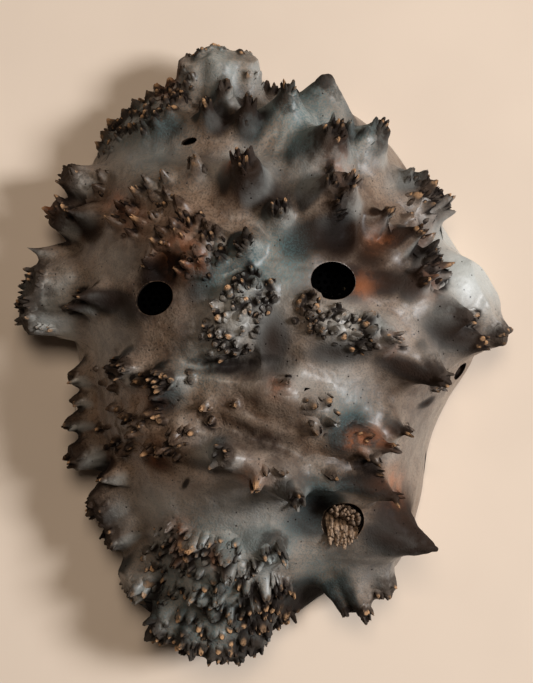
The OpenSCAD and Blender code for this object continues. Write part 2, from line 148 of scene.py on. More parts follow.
def swell(share):
    return np.maximum(0, 1 - share ** DOME_FULL) ** DOME_EDGE


def dome_facing(plan):
    slopes = []
    for step in np.eye(2) * SLOPE_STEP:
        rise = DOME_HEIGHT * (swell(rim_share(plan + step)) - swell(rim_share(plan - step)))
        slopes.append(rise / (2 * SLOPE_STEP))
    facing = np.stack([-slopes[0], -slopes[1], np.ones_like(slopes[0])], -1)
    return facing / np.linalg.norm(facing, axis=-1, keepdims=True)


print("rim reach from", RIM_REACH.min(), "to", RIM_REACH.max(), "mm as drawn")

# %% [markdown]
# Every mound, horn and thorn is one row: where its tip stands as drawn from above, its height, the radius
# of its foot and, if its top is blunt, how blunt. They are grouped by where they grow. Those with a wide
# foot are mounds, which shape the skin, and the others are thorns, which stand on it.

# %% Mounds and thorns
CROWN = 0.05
MOUND_RADIUS = 12.5
CREST = [
    [-42, 167, 10, 16, 0.45], [-26, 171, 13, 20, 0.5], [-11, 169, 11, 17, 0.45], [-57, 162, 7, 10],
    [-65, 159, 7, 10], [-73, 156, 7, 11], [-81, 151, 8, 11], [-89, 145, 8, 11], [-94, 137, 8, 11],
    [-101, 130, 9, 12], [-106, 124, 9, 11], [-66, 145, 6, 7], [-57, 144, 6, 7], [-49, 145, 6, 8],
    [-76, 139, 6, 7], [-69, 137, 5, 7], [-55, 137, 7, 8], [-78, 130, 6, 7], [-70, 131, 6, 7],
    [-63, 131, 7, 8], [-54, 151, 5, 7], [-32, 138, 13, 13, 0.15], [-22, 148, 12, 14, 0.25],
    [-8, 138, 15, 14, 0.15], [-12, 130, 6, 7], [-8, 161, 8, 8], [-3, 161, 8, 8], [2, 159, 8, 8],
    [6, 157, 8, 8], [11, 155, 7, 8], [14, 147, 23, 25, 0.1], [36, 158, 13, 32, 0.1]]
BROW = [
    [38, 122, 21, 27, 0.26], [51, 129, 9, 9], [67, 127, 19, 23, 0.22], [60, 126, 8, 8],
    [94, 95, 14, 24, 0.3], [104, 86, 12, 15, 0.2], [41, 91, 18, 26, 0.3], [38, 76, 9, 14, 0.3],
    [87, 103, 9, 9], [94, 102, 9, 9], [99, 97, 10, 9], [107, 90, 12, 10], [109, 83, 12, 10], [97, 86, 8, 8],
    [89, 90, 8, 9], [98, 79, 8, 8], [8, 77, 8, 14, 0.3], [-9, 101, 16, 22, 0.28], [-38, 103, 10, 12],
    [-66, 95, 7, 7], [-56, 97, 7, 7], [-73, 88, 8, 8], [-62, 86, 7, 7], [-54, 87, 7, 7], [-46, 80, 9, 12],
    [-114, 102, 12, 19, 0.4], [-97, 102, 8, 9], [-98, 94, 7, 8]]
TEMPLES = [
    [-110, 79, 15, 15, 0.08], [-121, 80, 12, 19, 0.4], [-136, 60, 16, 14, 0.05], [-82, 82, 6, 6],
    [-76, 78, 6, 6], [-70, 72, 8, 9], [-86, 72, 9, 10], [-74, 65, 7, 7], [-62, 75, 5, 6], [-57, 66, 6, 7],
    [-50, 70, 6, 7], [-47, 64, 6, 7], [-60, 60, 5, 6], [-36, 71, 6, 8], [-30, 67, 6, 8], [-33, 61, 5, 6],
    [-37, 55, 7, 8], [-26, 65, 6, 9], [-42, 48, 7, 8], [-34, 49, 7, 8], [-46, 44, 7, 7], [-24, 49, 6, 7],
    [-65, 50, 8, 9], [-10, 58, 10, 14, 0.25], [67, 76, 11, 13, 0.1], [83, 76, 9, 11],
    [85, 67, 15, 15, 0.15], [96, 66, 9, 8], [96, 60, 8, 8], [94, 52, 9, 16, 0.3], [102, 52, 9, 9],
    [102, 46, 9, 9], [87, 41, 8, 14, 0.3], [124, 42, 10, 34, 0.3], [132, 27, 13, 30, 0.3]]
NOSE = [
    [-13, 34, 5, 5], [-12, 27, 5, 5], [-13, 19, 5, 5], [-12, 12, 5, 5], [-15, 5, 5, 5], [-9, 4, 4, 5],
    [-5, 37, 6, 6], [3, 37, 6, 6], [3, 31, 5, 5], [-4, 27, 5, 5], [-3, 19, 5, 5], [-4, 12, 5, 5],
    [-27, 25, 6, 7], [-33, 9, 5, 7], [-24, 9, 4, 5], [-20, 2, 5, 6]]
CHEEKS = [
    [27, 29, 6, 7], [24, 21, 5, 6], [24, 15, 5, 6], [36, 24, 5, 6], [41, 20, 5, 6], [30, 12, 5, 6],
    [38, 13, 5, 6], [57, 20, 7, 8], [50, 10, 6, 7], [53, 3, 6, 7], [58, 12, 7, 8], [69, 8, 15, 18, 0.12],
    [113, 20, 18, 20, 0.16], [122, 4, 16, 18, 0.22], [138, 10, 15, 21, 0.3], [97, -15, 23, 24, 0.16],
    [-100, 31, 13, 13, 0.1], [-107, 25, 13, 13, 0.1], [-134, 38, 18, 26, 0.42], [-138, 21, 21, 25, 0.4],
    [-123, 13, 12, 15, 0.2]]
JAWS = [
    [-79, -8, 8, 16, 0.3], [-111, -14, 12, 16, 0.2], [-108, -27, 10, 13, 0.2], [-113, -42, 13, 16, 0.25],
    [-110, -60, 13, 18, 0.4], [-92, -72, 14, 14, 0.08], [-54, -15, 8, 15, 0.3], [-60, -23, 7, 9],
    [-87, -31, 6, 7], [-79, -35, 6, 7], [-71, -38, 6, 7], [-63, -33, 7, 11], [-76, -45, 6, 7],
    [-80, -54, 7, 8], [-66, -54, 6, 8], [-58, -52, 7, 9], [-50, -46, 7, 12], [-33, -29, 6, 8],
    [-29, -36, 5, 6], [-16, -27, 4, 6], [-22, -54, 8, 15, 0.3], [-2, -67, 10, 12], [9, -63, 8, 9],
    [12, -16, 8, 9], [25, -27, 7, 9], [34, -25, 7, 8], [38, -35, 9, 11], [27, -40, 8, 9],
    [77, -43, 13, 16, 0.06], [57, -44, 7, 9], [68, -51, 13, 16, 0.1], [56, -54, 6, 6], [62, -57, 6, 7],
    [71, -78, 18, 18, 0.06], [63, -66, 6, 7], [36, -66, 9, 11], [17, -78, 15, 14, 0.3],
    [95, -109, 31, 32, 0.04]]
CHIN = [
    [-97, -90, 13, 21, 0.42], [-90, -108, 11, 18, 0.4], [-62, -101, 4, 6], [-55, -98, 5, 6],
    [-47, -98, 5, 6], [-43, -106, 5, 6], [-25, -109, 7, 8], [-78, -134, 10, 21, 0.5],
    [-62, -160, 9, 20, 0.35], [-16, -113, 5, 7], [-45, -168, 10, 22, 0.35], [-25, -174, 11, 24, 0.35],
    [-8, -169, 10, 22, 0.35], [5, -108, 8, 20, 0.3], [45, -149, 7, 16, 0.15], [57, -150, 9, 20, 0.2],
    [70, -137, 6, 18, 0.35]]
ROWS = CREST + BROW + TEMPLES + NOSE + CHEEKS + JAWS + CHIN
GROWN = np.array([(row + [CROWN])[:5] for row in ROWS], float)
MOUNDS = GROWN[GROWN[:, 3] > MOUND_RADIUS]
THORNS = GROWN[GROWN[:, 3] <= MOUND_RADIUS]
MOUNDS[:, 2:4] *= SPREAD
THORNS[:, 2:4] *= SPREAD
print("mounds:", len(MOUNDS), "thorns:", len(THORNS))

# %% [markdown]
# The ground between the mounds isn't even. A hollow has a place, a depth and a radius. A swell is a low
# oval rise, or a groove if it is less than nothing: a place, a rise, two half lengths and a turn. A field
# is an oval too: a place, two half lengths, a turn, and then how many small knobs it has, their height,
# their radius and how dirty its ground is.

# %% Hollows, swells and fields
HOLLOWS = [
    [-51, 45, 9, 14], [30, -85, 11, 14], [28, -142, 18, 15], [60, 62, 5, 16], [40, 64, 7, 13],
    [44, -38, 5, 14], [8, -2, 4, 15], [-12, -3, 4, 15]]
SWELLS = [
    [-14, 21, 8, 32, 20, 60], [41, 15, 9, 36, 19, -20], [-46, 62, 7, 38, 24, -25],
    [-40, 112, -5, 62, 15, -6], [-14, -90, -10, 78, 24, -4], [-28, -141, 15, 48, 44, -10],
    [54, -130, 7, 26, 20, 20], [-66, 138, 9, 38, 22, 35], [-26, 158, 8, 28, 16, 0],
    [16, -25, 9, 42, 17, -18], [50, -48, 9, 30, 12, -6], [0, -62, 10, 46, 14, -18],
    [-66, -42, 7, 34, 22, 0], [-66, -14, 5, 34, 16, 0], [70, -20, -5, 30, 16, -15],
    [20, 100, -5, 22, 22, 0], [46, -71, 8, 34, 10, 3], [-10, -43, -5, 48, 9, -18], [-16, -7, -6, 36, 8, 0]]
FIELDS = [
    [-32, -142, 46, 40, -10, 44, 7, 9, 0.15], [-32, -140, 48, 40, -10, 190, 4, 5, 0.15],
    [-13, 20, 27, 15, 60, 60, 3.4, 5, 0.2], [38, 17, 28, 13, -20, 44, 3.4, 5, 0.2],
    [-46, 62, 36, 20, -25, 46, 3, 4, 0.2], [-70, 140, 36, 19, 35, 90, 4, 5, 0.35],
    [-66, -44, 30, 16, 0, 36, 4, 5, 0.25], [5, -146, 14, 24, 0, 50, 6, 5, 0.4],
    [-66, -12, 30, 10, 0, 22, 3.6, 5, 0.25]]
print("hollows:", len(HOLLOWS), "swells:", len(SWELLS), "fields:", len(FIELDS))

# %% [markdown]
# A mound grows square to the dome, so its foot lies further in than its tip. A foot never comes too near
# the rim, where the dome is steep. From here on each mound has a foot on the dome, a vector from there to
# its tip, and the radius of its foot.

# %% Feet of the mounds
FOOT_LIMIT = 0.93
LEAST_RISE = 0.2
LEAST_HEIGHT = 0.3
RIM_FADE = 8


def oval_share(plan, x, y, half_length, half_width, degrees):
    away = (plan - np.array([x, y]) * STRETCH) / SPREAD
    c, s = math.cos(math.radians(degrees)), math.sin(math.radians(degrees))
    along = (away[..., 0] * c + away[..., 1] * s) / half_length
    aside = (away[..., 1] * c - away[..., 0] * s) / half_width
    return np.sqrt(along ** 2 + aside ** 2)


def bowl(plan, *oval):
    return np.maximum(0, 1 - oval_share(plan, *oval) ** 2) ** 2


def dome_point(plan):
    height = DOME_HEIGHT * swell(rim_share(plan))
    dip = np.zeros_like(height)
    for x, y, depth, radius in HOLLOWS:
        dip = np.maximum(dip, depth * bowl(plan, x, y, radius, radius, 0))
    for x, y, rise, half_length, half_width, degrees in SWELLS:
        dip -= rise * bowl(plan, x, y, half_length, half_width, degrees)
    dip *= SPREAD * np.clip((1 - rim_share(plan)) * RIM_FADE, 0, 1)
    return np.concatenate([plan, np.maximum(height - dip, LEAST_HEIGHT * height)[..., None]], -1)


def held_in(plan):
    share = np.maximum(rim_share(plan), 0.001)
    return plan * np.minimum(1, FOOT_LIMIT / share)[..., None]


tips = MOUNDS[:, :2] * STRETCH
facings = dome_facing(held_in(tips))
feet_plan = held_in(tips - MOUNDS[:, 2:3] * facings[:, :2])
feet = dome_point(feet_plan)
grow = np.column_stack([tips - feet_plan, MOUNDS[:, 2] * np.maximum(facings[:, 2], LEAST_RISE)])
foot_radius = MOUNDS[:, 3]
print("longest mound:", round(float(np.linalg.norm(grow, axis=1).max()), 1), "mm")

# %% [markdown]
# The skin is a grid of rings, each with six points more than the one inside it, so that its triangles are
# all alike. A plain grid would spend most of its points on the smooth places, so each foot draws the
# points around it nearer, and the steep flanks keep enough of them.

# %% The grid of rings
RINGS = 220
RING_CROWD = 0.25
FOOT_CROWD = 0.4

ring = np.repeat(np.arange(RINGS + 1), np.maximum(1, 6 * np.arange(RINGS + 1)))
step = np.concatenate([np.arange(max(1, 6 * k)) for k in range(RINGS + 1)])
turn = 2 * math.pi * step / np.maximum(1, 6 * ring)
out = ring / RINGS
plan = rim_point(turn) * (out * (1 + RING_CROWD - RING_CROWD * out ** 2))[:, None]
inner = ring < RINGS


def within(points, middle, radius):
    close = (np.abs(points[:, 0] - middle[0]) < radius) & (np.abs(points[:, 1] - middle[1]) < radius)
    return np.nonzero(close & inner)[0]


def draw_in(points, middle, radius, strength):
    near = within(points, middle, radius)
    away = np.minimum(1, np.linalg.norm(points[near] - middle, axis=1) / radius)
    points[near] += (middle - points[near]) * (strength * (1 - away) ** 2)[:, None]


for foot, radius in zip(feet_plan, foot_radius):
    draw_in(plan, foot, radius, FOOT_CROWD)
first = np.concatenate([[0], 1 + 3 * np.arange(1, RINGS + 2) * np.arange(RINGS + 1)])


def on_ring(k, j):
    return first[k] + (j % (6 * k) if k else 0 * j)


triangles = []
for k in range(1, RINGS + 1):
    side, i = np.divmod(np.arange(6 * k), k)
    low = on_ring(k - 1, side * (k - 1) + i)
    triangles.append(np.column_stack([low, on_ring(k, side * k + i), on_ring(k, side * k + i + 1)]))
    side, i = side[i < k - 1], i[i < k - 1]
    low = on_ring(k - 1, side * (k - 1) + i)
    triangles.append(np.column_stack([low, on_ring(k, side * k + i + 1),
                                      on_ring(k - 1, side * (k - 1) + i + 1)]))
triangles = np.concatenate(triangles)
skin = dome_point(plan)
skin[~inner, 2] = 0
dome_skin = skin.copy()
print("grid:", len(skin), "points,", len(triangles), "triangles")

# %% [markdown]
# Each mound carries the points around its foot towards its tip, most at the foot and less towards its
# edge, so its flank flares and runs back towards the middle as a root. Where mounds stand close they grow
# together into one lobe, no taller than its tallest mound.

# %% Grow the mounds
MERGE = 4
FLARE = 2.0
ROOT = 0.35
UNEVEN = 0.08
LOBE_MARGIN = 1.2
LOBES = ((2, 0.45), (3, 0.35), (5, 0.2))
BALD_BLUNT = 0.44
WIDE_BLUNT = 0.28
WIDE_FOOT = 28
BALD_MARK = 0.4
chance = random.Random(11)


def across(facing):
    east = np.cross((0, 1, 0), facing)
    east /= np.linalg.norm(east)
    return east, np.cross(facing, east)


def lobed(angle, strength):
    wave = np.zeros_like(angle)
    for count, share in LOBES:
        wave += share * np.cos(count * angle - chance.uniform(0, 2 * math.pi))
    return 1 + strength * wave


weight = np.full(len(skin), 1e-9)
pull = np.zeros((len(skin), 3))
tallest = np.zeros(len(skin))
mound_mark = np.zeros(len(skin))
for n in range(len(MOUNDS)):
    near = within(dome_skin, feet[n], foot_radius[n] * LOBE_MARGIN / (1 - ROOT))
    gap = dome_skin[near] - feet[n]
    east, north = across(facings[n])
    lobes = lobed(np.arctan2(gap @ north, gap @ east), UNEVEN)
    length = np.linalg.norm(grow[n])
    lean = np.append(grow[n, :2], 0) / length
    behind = np.minimum(0, gap @ lean)
    gap = gap - np.outer(behind, lean) * ROOT
    away = np.linalg.norm(gap, axis=1) / foot_radius[n] / lobes
    rise = np.clip((1 - away) / (1 - MOUNDS[n, 4]), 0, 1) ** FLARE
    share = (rise * length) ** MERGE
    weight[near] += share
    pull[near] += share[:, None] * grow[n] / length
    tallest[near] += share * length
    blunt = MOUNDS[n, 4]
    bald = blunt > BALD_BLUNT or (blunt > WIDE_BLUNT and foot_radius[n] > WIDE_FOOT)
    mound_mark[near] = np.maximum(mound_mark[near], (BALD_MARK if bald else 1) * rise)
reach = np.minimum(weight ** (1 / MERGE), tallest / weight)
skin += pull / weight[:, None] * (reach * inner)[:, None]
print("highest point:", round(float(skin[:, 2].max()), 1), "mm")

# %% [markdown]
# Between the mounds the wood is smooth but never flat. Slow noise along the surface's own normal gives it
# lumps, and a faster, weaker noise gives it the ripples of the grain. The rim keeps still, so that the
# back stays flat.

# %% Lumps and ripples
LUMPS = ((1.5, 20), (0.7, 8), (0.16, 2.6))
CROWN_LUMPS = 0.8
CROWN_LUMP_SIZE = 3.6
STILL_RIM = 12


def skin_normals(points):
    corner = points[triangles]
    flat = np.cross(corner[:, 1] - corner[:, 0], corner[:, 2] - corner[:, 0])
    total = np.zeros_like(points)
    for c in range(3):
        for axis in range(3):
            total[:, axis] += np.bincount(triangles[:, c], flat[:, axis], len(points))
    return total / np.maximum(np.linalg.norm(total, axis=1, keepdims=True), 1e-9)


def soft_noise(points, size, seed):
    shift = Vector((17.3 * seed, 5.1 * seed, 9.7 * seed))
    return np.array([noise.noise(Vector(p) / size + shift) for p in points])


quiet = np.clip((1 - out) * STILL_RIM, 0, 1)
relief = np.zeros(len(skin))
for n, (height, size) in enumerate(LUMPS):
    relief += height * soft_noise(skin, size, n + 1)
relief += mound_mark ** 2 * CROWN_LUMPS * soft_noise(skin, CROWN_LUMP_SIZE, len(LUMPS) + 1)
skin += skin_normals(skin) * (relief * quiet)[:, None]
skin[:, 2] = np.maximum(skin[:, 2], 0)
print("relief from", round(float(relief.min()), 2), "to", round(float(relief.max()), 2), "mm")

# %% [markdown]
# The colours need to know where a point lies: deep in a crease, which gets painted shade, or on an end that
# stands out, which is worn and partly a painted highlight. A point is deep where the smoothed surface lies
# above it. The smoothing moves each point to the mean of its neighbours many times over.

# %% Depth of the creases
CREASE_ROUNDS = 12
pairs = np.concatenate([triangles[:, [0, 1]], triangles[:, [1, 2]], triangles[:, [2, 0]]])
near_count = np.maximum(np.bincount(pairs[:, 0], minlength=len(skin)), 1)[:, None]


def smoothed(values, rounds):
    for _ in range(rounds):
        total = [np.bincount(pairs[:, 0], values[pairs[:, 1], c], len(values))
                 for c in range(values.shape[1])]
        values = np.where(inner[:, None], np.column_stack(total) / near_count, values)
    return values


outward = skin_normals(skin)
crease = np.sum((smoothed(skin, CREASE_ROUNDS) - skin) * outward, axis=1)
print("creases to", round(float(crease.max()), 2), "mm")

# %% [markdown]
# The shell is closed below as in the CAD model: a sawn rim, a rebate for the back slab, a ledge, and the
# hollow's ceiling. A closed skin can then be drilled with Blender's boolean modifier, which cuts the
# sound holes, the seats of their screens, the knot's socket and the beetle's holes.

# %% Close the shell
RIM_LIP = 5
LEDGE = 11
WALL = 22
RIM_STEPS = 10
SIDES = RINGS * 6 // RIM_STEPS
HOLLOW_RINGS = (0.985, 0.94, 0.87, 0.77, 0.63, 0.45, 0.24)
slab_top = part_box("back_slab")[1].z / MM
hollow_height = DOME_HEIGHT - WALL - slab_top


def moved_in(points, distance):
    return points * (1 - distance / np.linalg.norm(points, axis=1, keepdims=True))


def level(points, height):
    return np.column_stack([points, np.zeros(len(points)) + height])


edge = rim_point(2 * math.pi * np.arange(SIDES) / SIDES)
lip, hollow_edge = moved_in(edge, RIM_LIP), moved_in(edge, RIM_LIP + LEDGE)
loops = [level(lip, 0), level(lip, slab_top), level(hollow_edge, slab_top)]
loops += [level(hollow_edge * s, slab_top + hollow_height * swell(np.array(s))) for s in HOLLOW_RINGS]
loops.append(np.array([[0, 0, slab_top + hollow_height]]))
base, last = len(skin), len(skin) + (len(loops) - 1) * SIDES
i = np.arange(SIDES)
after = (i + 1) % SIDES
closing = []
at_rim = RIM_STEPS * i
for n in range(RIM_STEPS):
    closing.append(np.column_stack([base + i, on_ring(RINGS, at_rim + n + 1), on_ring(RINGS, at_rim + n)]))
closing.append(np.column_stack([base + i, base + after, on_ring(RINGS, at_rim + RIM_STEPS)]))
for loop in range(len(loops) - 2):
    a, b = base + loop * SIDES + i, base + loop * SIDES + after
    closing.append(np.column_stack([a, b + SIDES, b]))
    closing.append(np.column_stack([a, a + SIDES, b + SIDES]))
closing.append(np.column_stack([last - SIDES + i, np.full(SIDES, last), last - SIDES + after]))
shell_points = np.concatenate([skin] + loops)
shell_triangles = np.concatenate([triangles] + closing)
print("shell:", len(shell_points), "points")

# %% [markdown]
# A helper makes a mesh object from points and faces in millimetres and lets it ride on a body. A second one
# keeps a value for each point, which the finish reads later. The skin's points come first in the mesh, so a
# list of values for the skin fits it.

# %% The burl as a mesh
def mesh_piece(name, points, faces, body):
    mesh = bpy.data.meshes.new(name)
    mesh.from_pydata((np.asarray(points) * MM).tolist(), [], [list(f) for f in faces])
    mesh.update()
    piece = put_in_scene(name, mesh)
    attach(piece, body)
    return piece


def mark(piece, name, values):
    full = np.zeros(len(piece.data.vertices), np.float32)
    full[:len(values)] = values
    piece.data.attributes.new(name, "FLOAT", "POINT").data.foreach_set("value", full)


burl = mesh_piece("spiked_burl", shell_points, shell_triangles.tolist(), "burl")
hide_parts("burl_shell")
print("burl:", len(burl.data.polygons), "faces")

# %% [markdown]
# A baked texture needs a flat map of the skin. The rings are already one: laid out as a disc, with the
# rim at its edge. The inside gets a small disc of its own in a corner, because nobody sees it.

# %% Flat map of the skin
MAP_NAME = "OFBake"
DISC_RADIUS = 0.49
INSIDE_REACH, INSIDE_RADIUS, INSIDE_AT = 170, 0.06, 0.07


def lay_flat(mesh, places):
    corners = np.zeros(len(mesh.loops), np.int32)
    mesh.loops.foreach_get("vertex_index", corners)
    spread = places.astype(np.float32)[corners]
    mesh.uv_layers.new(name=MAP_NAME).data.foreach_set("uv", spread.ravel())


disc = 0.5 + DISC_RADIUS * out[:, None] * np.column_stack([np.cos(turn), np.sin(turn)])
inside = shell_points[base:, :2] / INSIDE_REACH * INSIDE_RADIUS + INSIDE_AT
flat = np.concatenate([disc, inside]).astype(np.float32)
lay_flat(burl.data, flat)
print("mapped corners:", len(burl.data.loops))

# %% [markdown]
# A drill is a long cylinder. Hand-drilled mouths and beetle holes are ovals, so each drill may be wider
# one way than the other. All drills of a kind are one mesh, and one boolean cuts them all. The cutter's
# points get small places of their own on the flat map, in a corner that the skin leaves free.

# %% Drills
BORE_DEPTH = 9
LEFT_HOLE = (-59.3, 29.4)
RIGHT_HOLE = (36.6, 38.6)
KNOT_SOCKET = (43, -93)
BEETLE_BORES = (((-42, 117), 1.75, 2.4, 0.2), ((113, -11), 4, 1.4, 1), ((103, -18), 2.75, 1.2, 1))


def drill_mesh(drills):
    shape = bmesh.new()
    for foot, axis, radius, length, widen, slant in drills:
        made = bmesh.ops.create_cone(shape, cap_ends=True, segments=64, radius1=radius,
                                     radius2=radius, depth=length)
        up = Vector(axis)
        wide = Vector((1, slant, 0))
        wide = (wide - up * up.dot(wide)).normalized()
        aside = up.cross(wide)
        for vertex in made["verts"]:
            x, y, z = vertex.co
            vertex.co = Vector(foot) + wide * x * widen + aside * y + up * (z + length / 2)
    shape.verts.ensure_lookup_table()
    points = [tuple(v.co) for v in shape.verts]
    faces = [[v.index for v in f.verts] for f in shape.faces]
    shape.free()
    return points, faces


def cut_away(piece, points, faces, finish=None):
    mesh = bpy.data.meshes.new("cutter")
    mesh.from_pydata((np.array(points) * MM).tolist(), [], faces)
    cutter = put_in_scene("cutter", mesh)
    cut = piece.modifiers.new("cut_away", "BOOLEAN")
    cut.operation, cut.solver, cut.object = "DIFFERENCE", "MANIFOLD", cutter
    if finish is not None:
        cut.material_mode = "TRANSFER"
        mesh.materials.append(finish)
        spread = np.random.default_rng(3).uniform(0.9, 0.99, (len(mesh.loops), 2)).astype(np.float32)
        mesh.uv_layers.new(name=MAP_NAME).data.foreach_set("uv", spread.ravel())
    bpy.context.view_layer.update()
    shown = piece.evaluated_get(bpy.context.evaluated_depsgraph_get())
    done = bpy.data.meshes.new_from_object(shown)
    piece.modifiers.clear()
    piece.data = done
    bpy.data.objects.remove(cutter)


print("beetle holes:", len(BEETLE_BORES))

# %% [markdown]
# Finishes are node trees, and a few small helpers keep them readable. One adds a node and wires or sets
# its inputs. One lays colours over each other by masks, and the others make or change a value.

# %% Helpers for nodes
def set_inputs(tree, node, inputs):
    for key, value in inputs.items():
        if isinstance(value, bpy.types.NodeSocket):
            tree.links.new(value, node.inputs[key])
        else:
            node.inputs[key].default_value = value


def add_node(tree, kind, inputs, **settings):
    made = tree.nodes.new(kind)
    for name, value in settings.items():
        setattr(made, name, value)
    set_inputs(tree, made, inputs)
    return made


def layered(tree, colour, *layers):
    colour = (*colour, 1)
    for amount, above in layers:
        inputs = {0: amount, 6: colour, 7: (*above, 1)}
        colour = add_node(tree, "ShaderNodeMix", inputs, data_type="RGBA").outputs[2]
    return colour


def reckon(tree, way, a, b):
    return add_node(tree, "ShaderNodeMath", {0: a, 1: b}, operation=way).outputs[0]


def times(tree, a, b):
    return reckon(tree, "MULTIPLY", a, b)


def most(tree, a, b):
    return reckon(tree, "MAXIMUM", a, b)


def between(tree, value, low, high, start=0.0, end=1.0):
    inputs = {"Value": value, "From Min": low, "From Max": high, "To Min": start, "To Max": end}
    return add_node(tree, "ShaderNodeMapRange", inputs, interpolation_type="SMOOTHSTEP").outputs["Result"]


def noise_value(tree, where, scale, detail, rough):
    inputs = {"Vector": where, "Scale": scale, "Detail": detail, "Roughness": rough}
    return add_node(tree, "ShaderNodeTexNoise", inputs).outputs["Fac"]


print("helpers:", [helper.__name__ for helper in (add_node, layered, reckon, between, noise_value)])

# %% [markdown]
# A group is a set of nodes with a name, made once and used in many finishes. A finish starts from the
# shader that Blender gives it and from each point's place on its object, and ends when the colour, the
# roughness and the bumps are handed to that shader.

# %% Helpers for groups and finishes
def new_group(name, inputs, outputs):
    tree = bpy.data.node_groups.new(name, "ShaderNodeTree")
    for label, value in inputs.items():
        kind = "NodeSocketFloat" if isinstance(value, float) else "NodeSocketVector"
        tree.interface.new_socket(label, in_out="INPUT", socket_type=kind).default_value = value
    for label in outputs:
        tree.interface.new_socket(label, in_out="OUTPUT", socket_type="NodeSocketFloat")
    return tree, tree.nodes.new("NodeGroupInput").outputs, tree.nodes.new("NodeGroupOutput")


def use_group(tree, group, **inputs):
    made = add_node(tree, "ShaderNodeGroup", {}, node_tree=group)
    set_inputs(tree, made, inputs)
    return made.outputs


def new_finish(name):
    finish = bpy.data.materials.new(name)
    finish.use_nodes = True
    tree = finish.node_tree
    where = tree.nodes.new("ShaderNodeTexCoord").outputs["Object"]
    return finish, tree, tree.nodes["Principled BSDF"], where


def wear(tree, shader, colour, rough, lumps=None, strength=0.0, depth=0.0):
    set_inputs(tree, shader, {"Base Color": colour, "Roughness": rough})
    if lumps is not None:
        bump = add_node(tree, "ShaderNodeBump", {"Height": lumps, "Strength": strength, "Distance": depth})
        set_inputs(tree, shader, {"Normal": bump.outputs["Normal"]})


print("helpers:", [helper.__name__ for helper in (new_group, use_group, new_finish, wear)])

# %% [markdown]
# Old wood has marks that more than one piece shows. Mottling is cloudy and has two sizes. Pin holes are
# small dark dots in some cells of a pattern. Fibres are noise drawn out along the grain. Each is a group
# with named inputs, placed in each finish with its own values.

# %% Shared marks of old wood
NOWHERE = (0.0, 0.0, 0.0)
mottling, given, gives = new_group("Mottling", {"Where": NOWHERE, "Scale": 40.0}, ["Clouds", "Flecks"])
clouds = noise_value(mottling, given["Where"], given["Scale"], 4.0, 0.6)
flecks = noise_value(mottling, given["Where"], times(mottling, given["Scale"], 7.0), 3.0, 0.6)
set_inputs(mottling, gives, {"Clouds": between(mottling, clouds, 0.35, 0.65),
                             "Flecks": between(mottling, flecks, 0.38, 0.66)})

pin_holes, given, gives = new_group(
    "Pin Holes", {"Where": NOWHERE, "Scale": 200.0, "Size": 0.2, "Share": 0.5}, ["Mask", "Depth"])
cells = add_node(pin_holes, "ShaderNodeTexVoronoi", {"Vector": given["Where"], "Scale": given["Scale"]})
lucky = add_node(pin_holes, "ShaderNodeSeparateColor", {"Color": cells.outputs["Color"]}).outputs[0]
hole = between(pin_holes, cells.outputs["Distance"], given["Size"], 0.0)
hole = times(pin_holes, hole, reckon(pin_holes, "LESS_THAN", lucky, given["Share"]))
set_inputs(pin_holes, gives, {"Mask": between(pin_holes, hole, 0.15, 0.6),
                              "Depth": times(pin_holes, hole, -1.0)})

fibres, given, gives = new_group(
    "Fibres", {"Where": NOWHERE, "Along": (1.0, 1.0, 1.0), "Scale": 300.0}, ["Streaks", "Ridges"])
drawn = add_node(fibres, "ShaderNodeVectorMath", {0: given["Where"], 1: given["Along"]},
                 operation="MULTIPLY").outputs[0]
streak = noise_value(fibres, drawn, given["Scale"], 4.0, 0.6)
fine = noise_value(fibres, drawn, times(fibres, given["Scale"], 4.0), 2.0, 0.5)
set_inputs(fibres, gives, {"Streaks": between(fibres, streak, 0.3, 0.7),
                           "Ridges": reckon(fibres, "ADD", streak, times(fibres, fine, 0.4))})
print("groups:", [g.name for g in bpy.data.node_groups])

# %% [markdown]
# The burl's wood is dark brown under old wax. It is cloudy, with dark flecks and worn ridges that are
# lighter, partly as a painted highlight, blue-grey in some basins and rusty in some patches. Some claws end
# in bare tan wood and the crowns are dark. The dark patches and left-facing flanks are painted shade, with
# some dark wood and cracks; the pale patches and right-facing flanks are a painted highlight, with some
# paler wood; shut-in places and creases are nearly black, painted shade. Marks kept on the mesh say where
# each belongs, and noise breaks their edges. Painted-shade wood and dirty wood are dull, and a coat gives
# the rest the sheen of the wax.

# %% Wood of the burl
def marked(tree, name):
    return add_node(tree, "ShaderNodeAttribute", {}, attribute_name=name).outputs["Fac"]


